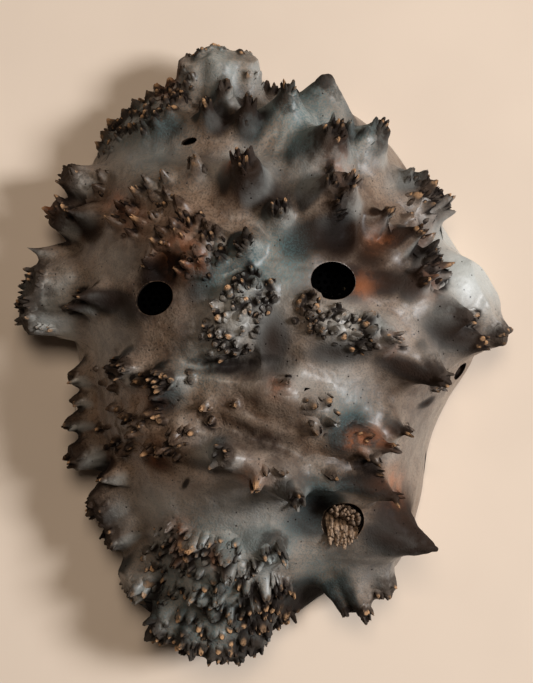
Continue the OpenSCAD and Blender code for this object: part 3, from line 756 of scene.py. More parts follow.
def burl_finish():
    finish, tree, shader, where = new_finish("waxed_burl_wood")
    broad = use_group(tree, mottling, Where=where, Scale=28.0)
    close = use_group(tree, mottling, Where=where, Scale=130.0)
    holes = use_group(tree, pin_holes, Where=where, Scale=260.0, Size=0.19, Share=0.4)
    grain = use_group(tree, fibres, Where=where, Along=(0.35, 1.0, 1.0), Scale=420.0)
    clouds, flecks, pale = close["Clouds"], close["Flecks"], marked(tree, "pale")
    shade = between(tree, marked(tree, "dark"), 0.05, 0.65)
    blue = times(tree, marked(tree, "blue"), between(tree, flecks, 0.0, 1.0, 0.45, 1.0))
    rust = times(tree, marked(tree, "rust"), between(tree, clouds, 0.1, 0.9, 0.3, 1.0))
    worn_edge = times(tree, reckon(tree, "SUBTRACT", clouds, 0.5), 0.4)
    crown = between(tree, reckon(tree, "ADD", marked(tree, "tip"), worn_edge), 0.15, 0.75)
    crown = times(tree, crown, between(tree, most(tree, rust, pale), 0.0, 1.0, 1.0, 0.2))
    bare = times(tree, between(tree, marked(tree, "claw"), 0.5, 1.0),
                 between(tree, clouds, 0.3, 0.8, 0.05, 0.8))
    deep = most(tree, between(tree, marked(tree, "shut"), 0.03, 0.22),
                between(tree, marked(tree, "crease"), 0.1, 1.0))
    # Painted shade: the shade and deep layers. Painted highlight: the pale and ridge layers, beside pale
    # wood and wear.
    colour = layered(tree, (0.05, 0.022, 0.01), (broad["Clouds"], (0.18, 0.108, 0.066)),
                     (times(tree, clouds, 0.4), (0.25, 0.185, 0.135)),
                     (between(tree, flecks, 0.35, 1.0, 0.0, 0.65), (0.035, 0.018, 0.01)),
                     (times(tree, marked(tree, "ridge"), 0.5), (0.34, 0.27, 0.21)),
                     (shade, (0.016, 0.007, 0.0035)), (pale, (0.46, 0.47, 0.445)),
                     (blue, (0.075, 0.13, 0.135)), (rust, (0.34, 0.11, 0.04)),
                     (times(tree, crown, 0.85), (0.02, 0.011, 0.007)), (bare, (0.58, 0.33, 0.17)),
                     (times(tree, deep, 0.95), (0.008, 0.005, 0.004)),
                     (holes["Mask"], (0.012, 0.008, 0.006)))
    # Painted shade, with the dark crowns, makes the wood dull and takes its coat away.
    shade_and_dirt = most(tree, most(tree, shade, deep), crown)
    rough = reckon(tree, "ADD", between(tree, flecks, 0.0, 1.0, 0.4, 0.55), times(tree, shade_and_dirt, 0.4))
    lumps = reckon(tree, "ADD", holes["Depth"], times(tree, flecks, 0.2))
    lumps = reckon(tree, "ADD", times(tree, grain["Ridges"], 0.1), lumps)
    wear(tree, shader, colour, rough, lumps, 0.7, 0.001)
    set_inputs(tree, shader, {"Specular IOR Level": 0.08, "Coat Roughness": 0.44,
                              "Coat Weight": between(tree, shade_and_dirt, 0.0, 0.7, 1.0, 0.03)})
    return finish


burl_wood = burl_finish()
print("nodes in the burl's finish:", len(burl_wood.node_tree.nodes))

# %% [markdown]
# The colours lie in patches: each is a round spot with a place as drawn from above, a radius and a
# strength, or an oval with a second half width and a turn as well.

# %% Where the colours lie
RUST_PLACES = [
    [-54, 152, 8, 0.8], [-17, 98, 5, 0.8], [-111, 79, 7, 0.9], [-82, 83, 7, 0.6], [-76, 78, 6, 0.6],
    [-70, 72, 9, 0.5], [-45, 63, 12, 0.35], [-46, 53, 11, 0.7], [-42, 47, 6, 0.9], [-35, 49, 6, 0.9],
    [-38, 55, 6, 0.7], [37, 92, 10, 0.5], [62, 62, 6, 0.6], [86, 66, 7, 0.5], [88, 39, 7, 0.6],
    [52, 35, 7, 0.5], [64, 8, 6, 0.6], [7, -17, 6, 0.5], [48, -46, 6, 0.7], [57, -45, 6, 0.6],
    [68, -72, 9, 0.6], [-6, -65, 7, 0.5], [-58, -53, 8, 0.4], [-60, -23, 8, 0.4], [-47, -98, 6, 0.8],
    [-46, -109, 6, 0.8], [-27, -112, 6, 0.6]]
BLUE_PLACES = [
    [-48, 150, 14, 0.5], [-25, 150, 14, 0.6], [20, 125, 22, 0.9], [45, 112, 14, 0.6], [-62, 108, 24, 0.4],
    [-22, 45, 14, 0.9], [-5, 46, 14, 1.0], [12, 45, 12, 0.9], [5, 55, 14, 0.8], [-35, -8, 14, 0.5],
    [-50, -17, 12, 0.4], [45, -35, 14, 0.7], [30, -80, 16, 0.6], [-35, -100, 18, 0.5], [-20, -105, 14, 0.6],
    [5, -105, 18, 0.6], [30, -120, 18, 0.6], [-30, -132, 34, 0.7], [-70, 136, 30, 0.6], [-20, 160, 20, 0.6],
    [-125, 30, 20, 0.5]]
# Dark patches: partly dark wood and cracks, partly painted shade in hollows, under ridges and beside cones.
DARK_WOOD_AND_SHADE_PLACES = [
    [-8, 87, 12, 1.0], [6, 84, 14, 0.6], [35, 106, 8, 1.0], [-27, 127, 9, 1.0], [-9, 123, 9, 1.0],
    [26, 148, 14, 0.7], [20, 112, 12, 0.3], [88, 100, 14, 0.5], [58, 112, 12, 0.5, 7, 80],
    [48, 132, 12, 0.5, 6, -30], [28, 62, 20, 1.0, 9, 0], [40, 62, 16, 0.8], [62, 38, 22, 0.9, 9, 0],
    [56, 52, 14, 0.6], [-55, 46, 10, 0.6], [-58, 40, 10, 1.0], [-66, 22, 8, 0.6], [-34, 36, 12, 0.7],
    [57, -101, 10, 1.0], [-54, 125, 14, 0.6, 8, 10], [-84, 28, 15, 1.0, 8, 0], [-74, 24, 12, 0.7],
    [-98, 70, 9, 0.8], [98, 12, 16, 1.0, 10, -30], [4, 7, 18, 1.0, 10, 90], [38, 0, 20, 0.8, 8, 0],
    [72, -5, 15, 0.9, 7, -10], [18, 60, 12, 0.8], [47, 38, 11, 1.0], [78, 34, 8, 0.9], [8, -3, 14, 0.5],
    [-12, -7, 28, 0.5, 5, 0], [70, -20, 20, 0.3], [-50, -24, 14, 0.7, 8, 70], [41, -46, 8, 1.0],
    [46, -38, 10, 0.8, 8, 0], [-32, -60, 30, 0.5, 5, -12], [-58, -60, 12, 0.6, 6, -20],
    [48, -70, 14, 0.9, 7, 0], [68, -93, 17, 1.0, 14, 60], [26, -93, 18, 1.0, 9, 0], [28, -80, 14, 0.9],
    [-79, -88, 14, 0.5, 6, 80], [-40, -152, 12, 0.5], [-10, -152, 14, 0.5], [26, -142, 22, 1.0, 16, -20],
    [-90, 120, 30, 0.3], [95, -69, 10, 1.0, 1.2, 97], [91, -28, 6, 1.0, 2, 30], [-43, -71, 4, 1.0, 1.5, 60]]
# Pits: painted shade, near black, in hollows, notches and under overhangs.
SHADE_PIT_PLACES = [
    [30, -85, 11, 1.0], [28, -142, 16, 1.0], [-58, 42, 10, 1.0], [38, 63, 12, 1.0], [-84, 27, 8, 0.6],
    [37, -93, 7, 0.8], [45, -38, 8, 0.5]]
# Pale patches: partly paler wood, partly a painted highlight where the wax's sheen lies.
PALE_WOOD_AND_HIGHLIGHT_PLACES = [
    [104, -50, 40, 0.2], [65, -112, 20, 0.3], [-5, -98, 34, 0.35], [116, 46, 26, 1.0], [112, 70, 24, 0.9],
    [40, -10, 24, 0.3], [55, 116, 16, 0.3], [92, 2, 18, 0.3], [22, 136, 12, 0.35], [-2, 132, 9, 0.5],
    [2, 98, 8, 0.3], [8, 70, 9, 0.4], [-122, 34, 20, 0.3], [88, 20, 18, 0.3], [14, -12, 22, 0.4, 9, -20],
    [-10, 20, 24, 0.5], [0, 38, 8, 0.4], [42, 15, 20, 0.45], [-32, -132, 34, 0.25], [-24, 100, 9, 0.3],
    [27, 119, 12, 0.8], [-31, -113, 12, 0.35], [-122, 6, 12, 0.5], [-13, 103, 11, 0.7], [40, 92, 10, 0.4],
    [48, 121, 9, 0.5], [-50, -103, 12, 0.35], [23, 90, 11, 0.4], [75, 97, 10, 0.4],
    [62, 12, 13, 0.6, 9, -20], [94, 44, 9, 0.5], [-28, -53, 10, 0.4], [14, -78, 8, 0.7], [68, -55, 8, 0.3],
    [2, -112, 13, 0.8, 8, 80], [-28, 146, 7, 0.5], [-40, -120, 20, 0.2], [-84, 10, 20, 0.2],
    [-82, 50, 14, 0.2], [-70, 112, 24, 0.25, 12, 0], [-60, -84, 24, 0.3, 12, 0]]
print("patches:", sum(map(len, (RUST_PLACES, BLUE_PLACES, DARK_WOOD_AND_SHADE_PLACES, SHADE_PIT_PLACES, PALE_WOOD_AND_HIGHLIGHT_PLACES))))

# %% [markdown]
# The sides of the mounds that face right are painted lighter, a painted highlight, and those that face left
# are painted darker, painted shade. The ground of a field of knobs is dirty. Creases get painted shade, and
# what stands out is worn and lighter, partly as a painted highlight. Each of these becomes a mark on the
# skin's points, together with the patches.

# %% Mark the skin
PAINTED_LIGHT_WAY = np.array([0.86, -0.5, 0])
DOME_SHARE = 0.65
PAINTED_LIGHT_FROM, PAINTED_LIGHT_RATE, PAINTED_LIGHT_MOST = 0.12, 2, 0.5
PAINTED_SHADE_FROM, PAINTED_SHADE_RATE, PAINTED_SHADE_MOST = 0.1, 2.2, 0.8


def patches(places):
    strength = np.zeros(len(skin))
    for x, y, radius, amount, *oval in places:
        oval = oval or (radius, 0)
        away = oval_share(dome_skin[:, :2], x, y, radius, *oval)
        strength = np.maximum(strength, amount * np.exp(-away ** 2))
    return strength


def field_ground():
    ground = np.zeros(len(skin))
    for row in FIELDS:
        share = oval_share(dome_skin[:, :2], *row[:5])
        ground = np.maximum(ground, row[-1] * np.clip((1.2 - share) * 1.8, 0, 1))
    return ground


# How far a flank turns to the right: the lighter right side is painted highlight, the darker left side
# painted shade.
turned = smoothed(outward, 3) @ PAINTED_LIGHT_WAY
turned -= DOME_SHARE * dome_facing(held_in(dome_skin[:, :2])) @ PAINTED_LIGHT_WAY
flanks = np.clip(4 * mound_mark, 0, 1)
painted_highlight_flanks = flanks * np.clip((turned - PAINTED_LIGHT_FROM) * PAINTED_LIGHT_RATE, 0, 1)
stain_and_painted_shade = flanks * np.clip((-turned - PAINTED_SHADE_FROM) * PAINTED_SHADE_RATE, 0, 1)
# The dark mark carries painted shade and the pale mark a painted highlight, each beside the wood's own
# colour.
dark = patches(DARK_WOOD_AND_SHADE_PLACES)
skin_marks = {"tip": np.clip(np.maximum(mound_mark ** 2, field_ground()), 0, 1),
              "crease": np.maximum(np.clip(crease / 3, -1, 0.4), patches(SHADE_PIT_PLACES)),
              "ridge": np.clip(-crease / 2, 0, 1),
              "rust": patches(RUST_PLACES),
              "blue": patches(BLUE_PLACES),
              "dark": np.maximum(dark, PAINTED_SHADE_MOST * stain_and_painted_shade),
              "pale": np.maximum(patches(PALE_WOOD_AND_HIGHLIGHT_PLACES), PAINTED_LIGHT_MOST * painted_highlight_flanks) * (1 - 0.9 * dark)}
for name, values in skin_marks.items():
    mark(burl, name, values)
mark(burl, "claw", np.zeros(1))
burl.data.materials.append(burl_wood)
print("marks on the skin:", list(skin_marks))

# %% [markdown]
# A drilled wall is cut end grain, painted nearly black as painted shade inside the holes. It is a finish of
# its own, which the drills carry, and the boolean hands it to the faces that they cut.

# %% Drill the holes
def bored_finish():
    finish, tree, shader, where = new_finish("bored_dark_wood")
    wall_mottling = use_group(tree, mottling, Where=where, Scale=160.0)
    rings = use_group(tree, fibres, Where=where, Along=(1.0, 1.0, 0.2), Scale=500.0)
    colour = layered(tree, (0.006, 0.004, 0.003), (wall_mottling["Clouds"], (0.04, 0.024, 0.016)),
                     (times(tree, rings["Streaks"], 0.5), (0.01, 0.007, 0.005)))
    rough = between(tree, wall_mottling["Flecks"], 0.0, 1.0, 0.6, 0.85)
    wear(tree, shader, colour, rough, rings["Ridges"], 0.5, 0.0005)
    shader.inputs["Specular IOR Level"].default_value = 0.1
    return finish


bored_wood = bored_finish()
UP = np.array([0, 0, 1])
SEAT_CLEARANCE = 0.2
SCREEN_LIP = 3
HOLE_NARROW, HOLE_WIDE = 0.87, 1.18
SOCKET_DEPTH, SOCKET_RADIUS, SOCKET_WIDE = 11, 10.6, 1.1
BORE_SLANT = 0.3
seats, holes = [], []
for name, drawn_at, slant in (("left_screen", LEFT_HOLE, 0.5), ("right_screen", RIGHT_HOLE, -0.1)):
    low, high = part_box(name)
    at = np.array(drawn_at) * STRETCH
    radius = (high.x - low.x) / MM / 2
    seats.append(((*at, slab_top + 1), UP, radius + SEAT_CLEARANCE, high.z / MM - slab_top - 1, 1, 0))
    narrow = HOLE_NARROW * (radius - SCREEN_LIP)
    holes.append(((*at, high.z / MM - 2), UP, narrow, 2 * DOME_HEIGHT, HOLE_WIDE, slant))
knot_at = np.array(KNOT_SOCKET) * STRETCH
knot_floor = float(dome_point(knot_at[None])[0, 2]) - SOCKET_DEPTH
holes.append(((*knot_at, knot_floor), UP, SOCKET_RADIUS, DOME_HEIGHT, SOCKET_WIDE, 1))
for drawn_at, radius, widen, slant in BEETLE_BORES:
    at = np.array(drawn_at)[None] * STRETCH
    facing, mouth = dome_facing(at)[0], dome_point(at)[0]
    aim = BORE_SLANT * facing + UP
    aim /= np.linalg.norm(aim)
    holes.append((tuple(mouth - aim * BORE_DEPTH), tuple(aim), radius, 4 * BORE_DEPTH, widen, slant))
for drills in (seats, holes):
    cut_away(burl, *drill_mesh(drills), bored_wood)
print("drilled burl:", len(burl.data.polygons), "faces")

# %% [markdown]
# The tops of the mounds are broken into small claws, and thorns and knobs stand between them. Each needs a
# place on the skin and a way to grow: partly square to the skin, partly square to the dome, a little
# outwards, and a little astray. None grows over a drilled hole, and those near the rim are shorter.

# %% A place for a claw
HOLES_KEPT_CLEAR = ((LEFT_HOLE, 10.5), (RIGHT_HOLE, 12), (KNOT_SOCKET, 11.5), (BEETLE_BORES[0][0], 5))
LEAST_RADIUS = 2.5
OVERLAP = 3
LEAN_REACH = 140
LOW_SKIN = 6
RIM_SHORTER = 0.35
skin_tree = BVHTree.FromPolygons(skin.tolist(), triangles.tolist())
drilled = [(*(np.array(at) * STRETCH), clear) for at, clear in HOLES_KEPT_CLEAR]
claws = []


def on_skin(x, y):
    at, facing, *_ = skin_tree.ray_cast(Vector((x, y, 4 * DOME_HEIGHT)), Vector((0, 0, -1)))
    if at is None or at.z < LOW_SKIN:
        at, facing, *_ = skin_tree.find_nearest(Vector((x, y, DOME_HEIGHT / 4)))
    return np.array(at), np.array(facing)


def stand_claw(x, y, height, radius, splay, broken, shaft):
    at, facing = on_skin(x, y)
    if any(math.hypot(at[0] - hx, at[1] - hy) < clear for hx, hy, clear in drilled):
        return
    for hx, hy, clear in drilled:
        radius = min(radius, max(LEAST_RADIUS, math.hypot(at[0] - hx, at[1] - hy) - clear + OVERLAP))
    stray = np.array([chance.uniform(-splay, splay) for _ in range(3)])
    outwards = np.append(at[:2], 0) / max(LEAN_REACH, 1.6 * np.linalg.norm(at[:2]))
    height *= 1 - RIM_SHORTER * float(np.clip((rim_share(at[None, :2])[0] - 0.75) / 0.2, 0, 1))
    way = facing + dome_facing(held_in(at[None, :2]))[0] + outwards + stray
    claws.append((at, facing, way / np.linalg.norm(way), outwards, height, radius, broken, shaft))


print("holes kept clear:", len(drilled))

# %% [markdown]
# The thorns stand where their rows say, each with one to three smaller ones at its side. A fixed seed
# scatters the claws over the crown of each mound, more on a wider one, and the knobs over each field. The
# bluntest mounds have only low claws, on the side that faces outwards, and the widest have none.

# %% Scatter the claws
THORN_WIDEN = 1.35
THORN_SHAFT, SIDE_SHAFT, CROWN_SHAFT, KNOB_SHAFT = 0.26, 0.4, 0.42, 0.46
THORNS_BROKEN, SIDES_BROKEN, CLAWS_BROKEN = 0.4, 0.5, 0.3
for x, y, height, radius in THORNS[:, :4]:
    tip = np.array([x, y]) * STRETCH
    foot = tip - height * dome_facing(held_in(tip[None]))[0, :2]
    stand_claw(*foot, height, THORN_WIDEN * radius, 0.15, chance.random() < THORNS_BROKEN, THORN_SHAFT)
    for _ in range(chance.randint(1, 3)):
        angle = chance.uniform(0, 2 * math.pi)
        aside = foot + 0.35 * radius * np.array([math.cos(angle), math.sin(angle)])
        stand_claw(*aside, chance.uniform(0.4, 0.7) * height, 0.5 * radius, 0.4,
                   chance.random() < SIDES_BROKEN, SIDE_SHAFT)
for n in range(len(MOUNDS)):
    radius, blunt = MOUNDS[n, 3:5]
    if radius > WIDE_FOOT:
        continue
    for _ in range(int(3 + radius * (0.15 + blunt))):
        angle = chance.uniform(0, 2 * math.pi)
        reach = (0.1 + 0.9 * blunt) * radius * math.sqrt(chance.random())
        if blunt > BALD_BLUNT:
            angle = math.atan2(tips[n, 1], tips[n, 0]) + chance.uniform(-1.4, 1.4)
        at = tips[n] + reach * np.array([math.cos(angle), math.sin(angle)])
        low = 0.5 if blunt > BALD_BLUNT else 1
        claw_h, claw_r = low * chance.uniform(2.5, 5.5), chance.uniform(3, 5.4)
        stand_claw(*at, claw_h, claw_r, 0.4, chance.random() < CLAWS_BROKEN, CROWN_SHAFT)
for x, y, half_length, half_width, degrees, count, knob_h, knob_r, _ in FIELDS:
    turned = math.radians(degrees)
    for _ in range(count):
        angle, reach = chance.uniform(0, 2 * math.pi), math.sqrt(chance.random())
        a, b = reach * math.cos(angle) * half_length, reach * math.sin(angle) * half_width
        at = np.array([x + a * math.cos(turned) - b * math.sin(turned),
                       y + a * math.sin(turned) + b * math.cos(turned)])
        size = chance.uniform(0.4, 1.3)
        stand_claw(*(at * STRETCH), knob_h * size, knob_r * chance.uniform(0.6, 1.3), 0.5,
                   chance.random() < CLAWS_BROKEN, KNOB_SHAFT)
print("claws, thorns and knobs:", len(claws))

# %% [markdown]
# A thorn flares widely at its foot and ends in a thin stub. A claw on a crown or a knob in a field is
# more of a peg. Both are a flare and a stub added together, in shares. Points near the tip are ragged,
# some tops are dented, and every claw bends a little outwards. Each is a small patch of its own: rings of
# points are dropped on the skin around its foot and lifted towards its tip.

# %% Lay the claws on the skin
CLAW_RINGS = (1.0, 0.72, 0.56, 0.46, 0.38, 0.3, 0.22, 0.15, 0.08, 0.0)
CLAW_SIDES = 14
CLAW_SINK = 0.35
BARE_SHARE = 0.35
CLAW_BEND = 0.45
DENT = 0.12
LEAST_LIFT = 0.2


def claw_rise(share, peg, shaft, broken):
    flare = (1 - share) ** 2.4
    stub = min(1, max(0, shaft - share) / (0.55 * shaft)) ** 0.6
    return (1 - peg) * flare + peg * stub - (DENT if broken and share < 0.15 else 0)


points, faces, hits, spots, rises, bares = [], [], [], [], [], []
for at, facing, way, outwards, height, radius, broken, shaft in claws:
    east, north = across(facing)
    peg = chance.uniform(1.3, 1.9) * shaft
    bare = 1 if chance.random() < BARE_SHARE else chance.uniform(0.5, 0.8)
    start, phase = len(points), chance.uniform(0, 2 * math.pi)
    for r, share in enumerate(CLAW_RINGS):
        rise = claw_rise(share, peg, shaft, broken)
        for s in range(CLAW_SIDES if share else 1):
            angle = 2 * math.pi * s / CLAW_SIDES
            uneven = 1 + 0.12 * math.cos(2 * angle + phase) + 0.07 * math.cos(3 * angle - phase)
            out_to = radius * share * uneven * (1 + chance.uniform(-0.12, 0.12))
            spot = at + out_to * (math.cos(angle) * east + math.sin(angle) * north)
            on, _, face, far = skin_tree.find_nearest(Vector(spot))
            on = on if far < 0.5 * radius else Vector(at)
            ragged = 1 + chance.uniform(-0.14, 0.14) * min(1, 2 * rise)
            sunk = CLAW_SINK * max(0, share - 0.6) / 0.4
            bent = way * rise + CLAW_BEND * outwards * rise ** 2
            points.append(np.array(on) + bent * height * ragged - facing * sunk)
            hits.append(face)
            spots.append(on)
            rises.append(rise)
            bares.append(rise * bare)
        if share:
            ring_now = [start + r * CLAW_SIDES + s for s in range(CLAW_SIDES)]
            for s in range(CLAW_SIDES):
                a, b = ring_now[s], ring_now[(s + 1) % CLAW_SIDES]
                if r == len(CLAW_RINGS) - 2:
                    faces.append((a, b, start + (r + 1) * CLAW_SIDES))
                else:
                    faces.append((a, b, b + CLAW_SIDES, a + CLAW_SIDES))
points = np.array(points)
points[:, 2] = np.maximum(points[:, 2], LEAST_LIFT)
print("points of the claws:", len(points))

# %% [markdown]
# A claw has the marks of the skin below it, and its tip is darker. Each of its points was dropped on one
# triangle of the skin, so it takes a share of the marks of the three corners. Then the claws are joined to
# the burl, as one piece.

# %% Marks of the claws
corner = skin[triangles[hits]]
across_face = np.cross(corner[:, 1] - corner[:, 0], corner[:, 2] - corner[:, 0])
spots = np.array(spots)
area = np.maximum(np.sum(across_face ** 2, axis=1), 1e-12)
parts = []
for c in range(3):
    one, two = corner[:, (c + 1) % 3] - spots, corner[:, (c + 2) % 3] - spots
    parts.append(np.sum(np.cross(one, two) * across_face, axis=1) / area)
parts = np.clip(np.array(parts).T, 0, 1)
parts /= parts.sum(axis=1, keepdims=True)


def from_skin(values):
    return np.einsum("nc,nc...->n...", parts, values[triangles[hits]])


claw_mesh = bpy.data.meshes.new("burl_claws")
claw_mesh.from_pydata((points * MM).tolist(), [], faces)
claw_piece = put_in_scene("burl_claws", claw_mesh)
# The claws take the skin's painted shade and painted highlight too: its crease, ridge, dark and pale marks.
for name in ("crease", "ridge", "rust", "blue", "dark", "pale"):
    mark(claw_piece, name, from_skin(skin_marks[name]))
# Where the skin is pale, partly as a painted highlight, the claws' tips are less dark.
worn = 1 - np.clip(1.4 * from_skin(skin_marks["pale"]), 0, 0.8)
tips_dark = from_skin(skin_marks["tip"]) + 0.75 * np.clip(rises, 0, 1) ** 1.4
mark(claw_piece, "tip", np.clip(worn * tips_dark, 0, 1))
mark(claw_piece, "claw", np.array(bares))
lay_flat(claw_mesh, from_skin(flat[:len(skin)]))
claw_mesh.materials.append(burl_wood)
both = {"active_object": burl, "object": burl, "selected_editable_objects": [burl, claw_piece]}
with bpy.context.temp_override(**both):
    bpy.ops.object.join()
burl.data.shade_smooth()
burl.data.set_sharp_from_angle(angle=math.radians(50))
print("burl with its claws:", len(burl.data.polygons), "faces")

# %% [markdown]
# The wood is painted nearly black where it is shut in, between claws and under lips: painted shade. From
# each
# point a few rays look out into the open: the more of them that soon meet wood, the more shut in the point
# is.

# %% Shut-in places
LOOKS = 7
LOOK_FAR = (9, 26)
LOOK_TILT = (0.55, 1.05)
LOOK_TURN = 2.4
LOOK_FROM = 0.9
ODD_WAY = (0.31, 0.87, 0.38)
EVENING_ROUNDS = 3
count = len(burl.data.vertices)
points, normals = np.zeros(3 * count, np.float32), np.zeros(3 * count, np.float32)
burl.data.vertices.foreach_get("co", points)
burl.data.vertex_normals.foreach_get("vector", normals)
points, normals = points.reshape(-1, 3).astype(float) / MM, normals.reshape(-1, 3).astype(float)
tree = BVHTree.FromPolygons(points.tolist(), [tuple(f.vertices) for f in burl.data.polygons])
east = np.cross(normals, ODD_WAY)
east /= np.maximum(np.linalg.norm(east, axis=1, keepdims=True), 1e-6)
north = np.cross(normals, east)
start = (points + LOOK_FROM * normals).tolist()
shut = np.zeros(count)
for look in range(LOOKS):
    angle = 2 * math.pi * look / LOOKS + LOOK_TURN * np.arange(count)
    tilt, far = LOOK_TILT[look % 2], LOOK_FAR[look % 2]
    aside = np.cos(angle)[:, None] * east + np.sin(angle)[:, None] * north
    ways = (math.cos(tilt) * normals + math.sin(tilt) * aside).tolist()
    met = [tree.ray_cast(a, b, far) for a, b in zip(start, ways)]
    shut += np.array([1 - d / far if d is not None and n.dot(b) < 0 else 0
                      for (at, n, face, d), b in zip(met, map(Vector, ways))]) / LOOKS
links = np.zeros(2 * len(burl.data.edges), np.int32)
burl.data.edges.foreach_get("vertices", links)
links = links.reshape(-1, 2)
both_ways = np.concatenate([links, links[:, ::-1]])
neighbours = np.maximum(np.bincount(both_ways[:, 0], minlength=count), 1)
for _ in range(EVENING_ROUNDS):
    shut = 0.4 * shut + 0.6 * np.bincount(both_ways[:, 0], shut[both_ways[:, 1]], count) / neighbours
mark(burl, "shut", shut)
print("most shut in:", round(float(shut.max()), 2), "mean:", round(float(shut.mean()), 3))

# %% [markdown]
# The dead knot is the stub of a branch that died: a bundle of dry, torn fibres in a dark socket. Each
# fibre is a thin tapered rod with its own lean and length. Those on the upper right stand up as a broken
# head, and the others are shorter and hang over as a tuft.

# %% The dead knot
KNOT_FIBRES = 70
KNOT_SPREAD = 8.5
SPIRAL_TURN = 2.39996
FIBRE_SIDES, FIBRE_LEVELS = 7, 6


def rod_faces(start, sides, levels):
    faces = []
    for low in range(start, start + (levels - 1) * sides, sides):
        for s in range(sides):
            a, b = low + s, low + (s + 1) % sides
            faces.append([a, b, b + sides, a + sides])
    faces.append([start + s for s in reversed(range(sides))])
    faces.append([start + (levels - 1) * sides + s for s in range(sides)])
    return faces


def fibre_bundle(middle, floor, top):
    luck = random.Random(5)
    points, faces = [], []
    for n in range(KNOT_FIBRES):
        reach = KNOT_SPREAD * math.sqrt((n + 0.5) / KNOT_FIBRES)
        x, y = reach * math.cos(n * SPIRAL_TURN), reach * math.sin(n * SPIRAL_TURN)
        hanging = y + 0.5 * x < 0.5
        height = top * (0.6 if hanging else 0.92) * luck.uniform(0.75, 1.08)
        lean = (luck.uniform(-0.12, 0.06), (-0.6 if hanging else 0.15) + luck.uniform(-0.1, 0.1))
        thick = luck.uniform(1.1, 1.9)
        faces += rod_faces(len(points), FIBRE_SIDES, FIBRE_LEVELS)
        for up in np.linspace(0, 1, FIBRE_LEVELS):
            for s in range(FIBRE_SIDES):
                turned = 2 * math.pi * s / FIBRE_SIDES + 0.4 * up
                ragged = thick * (1 - 0.55 * up ** 3) * luck.uniform(0.8, 1.15)
                points.append((middle.x + x + lean[0] * height * up + ragged * math.cos(turned),
                               middle.y + y + lean[1] * height * up ** 2 + ragged * math.sin(turned),
                               floor + height * up + luck.uniform(-0.3, 0.3) * up))
    return points, faces


knot_low, knot_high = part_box("dead_knot")
knot_height = (knot_high.z - knot_low.z) / MM
points, faces = fibre_bundle((knot_low + knot_high) / 2 / MM, knot_low.z / MM, knot_height)
knot = mesh_piece("torn_dead_knot", points, faces, "burl")
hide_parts("dead_knot")
knot.data.shade_smooth()
print("fibres in the knot:", KNOT_FIBRES)

# %% [markdown]
# Torn wood and bare cane both show long fibres, so one function makes the finish of each: light streaks
# on a dark ground, with cloudy stains over them, and ridges along the fibres. What differs is handed in.

# %% Wood with long fibres
def streaked_finish(name, along, scale, stain_scale, dark, light, stain_and_painted_shade, stain_share, rough, bump):
    finish, tree, shader, where = new_finish(name)
    strands = use_group(tree, fibres, Where=where, Along=along, Scale=scale)
    stain = use_group(tree, mottling, Where=where, Scale=stain_scale)
    colour = layered(tree, dark, (strands["Streaks"], light),
                     (times(tree, stain["Clouds"], stain_share), stain_and_painted_shade))
    dullness = between(tree, stain["Flecks"], 0.0, 1.0, *rough)
    wear(tree, shader, colour, dullness, strands["Ridges"], *bump)
    return finish


knot.data.materials.append(streaked_finish(
    "dry_torn_wood", (1.0, 1.0, 0.12), 700.0, 110.0, (0.06, 0.034, 0.02), (0.44, 0.29, 0.185),
    (0.05, 0.033, 0.022), 0.6, (0.65, 0.9), (0.7, 0.0006)))
print("finish of the knot:", knot.data.materials[0].name)

# %% [markdown]
# The back slab is a planed board with its grain along the burl, let into the rebate. Its CAD shape is
# right, so
# it only gets a finish: streaks along the grain, darker pores and a dull oil. Its inner face is painted
# black as painted shade, so that nothing pale shows through the sound holes.

# %% The back slab
def finish_node(name, finish):
    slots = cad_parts[name].data.materials
    slots.clear()
    slots.append(finish)


def slab_finish():
    finish, tree, shader, where = new_finish("oiled_slab_wood")
    grain = use_group(tree, fibres, Where=where, Along=(1.0, 0.05, 1.0), Scale=180.0)
    stain = use_group(tree, mottling, Where=where, Scale=22.0)
    pores = use_group(tree, pin_holes, Where=where, Scale=330.0, Size=0.22, Share=0.3)
    height = add_node(tree, "ShaderNodeSeparateXYZ", {"Vector": where}).outputs["Z"]
    painted_shade_inner_face = between(tree, height, slab_top * MM - 0.001, slab_top * MM)
    colour = layered(tree, (0.17, 0.1, 0.058), (grain["Streaks"], (0.36, 0.235, 0.145)),
                     (times(tree, stain["Clouds"], 0.35), (0.13, 0.08, 0.048)),
                     (pores["Mask"], (0.06, 0.035, 0.02)), (painted_shade_inner_face, (0.004, 0.003, 0.002)))
    rough = between(tree, stain["Flecks"], 0.0, 1.0, 0.45, 0.65)
    wear(tree, shader, colour, rough, grain["Ridges"], 0.4, 0.0004)
    return finish


finish_node("back_slab", slab_finish())
print("slab thickness:", round(slab_top, 1), "mm")

# %% [markdown]
# The screws that hold the slab have a countersunk head with a slot. The CAD screws are plain, so each is
# made again here: a turned profile, with the slot cut by a boolean, at the same place as in the CAD
# model.

# %% The back screws
SCREW_DIRECTIONS = (20, 62, 105, 150, 200, 245, 275, 318)
SCREW_PROFILE = ((3.6, 0.3), (4, 0.55), (2.0, 2.3), (2.0, 19.3), (0.5, 22.3))
SCREW_SIDES = 32
SLOT_CORNERS = ((-5, -0.5), (5, -0.5), (5, 0.5), (-5, 0.5))
SLOT_HEIGHTS = (-1, 1.2)
SLOT_TURN = 0.7


def slot_shapes(places):
    points, faces = [], []
    for n, (x, y) in enumerate(places):
        c, s = math.cos(SLOT_TURN * n), math.sin(SLOT_TURN * n)
        faces += rod_faces(len(points), len(SLOT_CORNERS), len(SLOT_HEIGHTS))
        points += [(x + a * c - b * s, y + a * s + b * c, z) for z in SLOT_HEIGHTS for a, b in SLOT_CORNERS]
    return points, faces


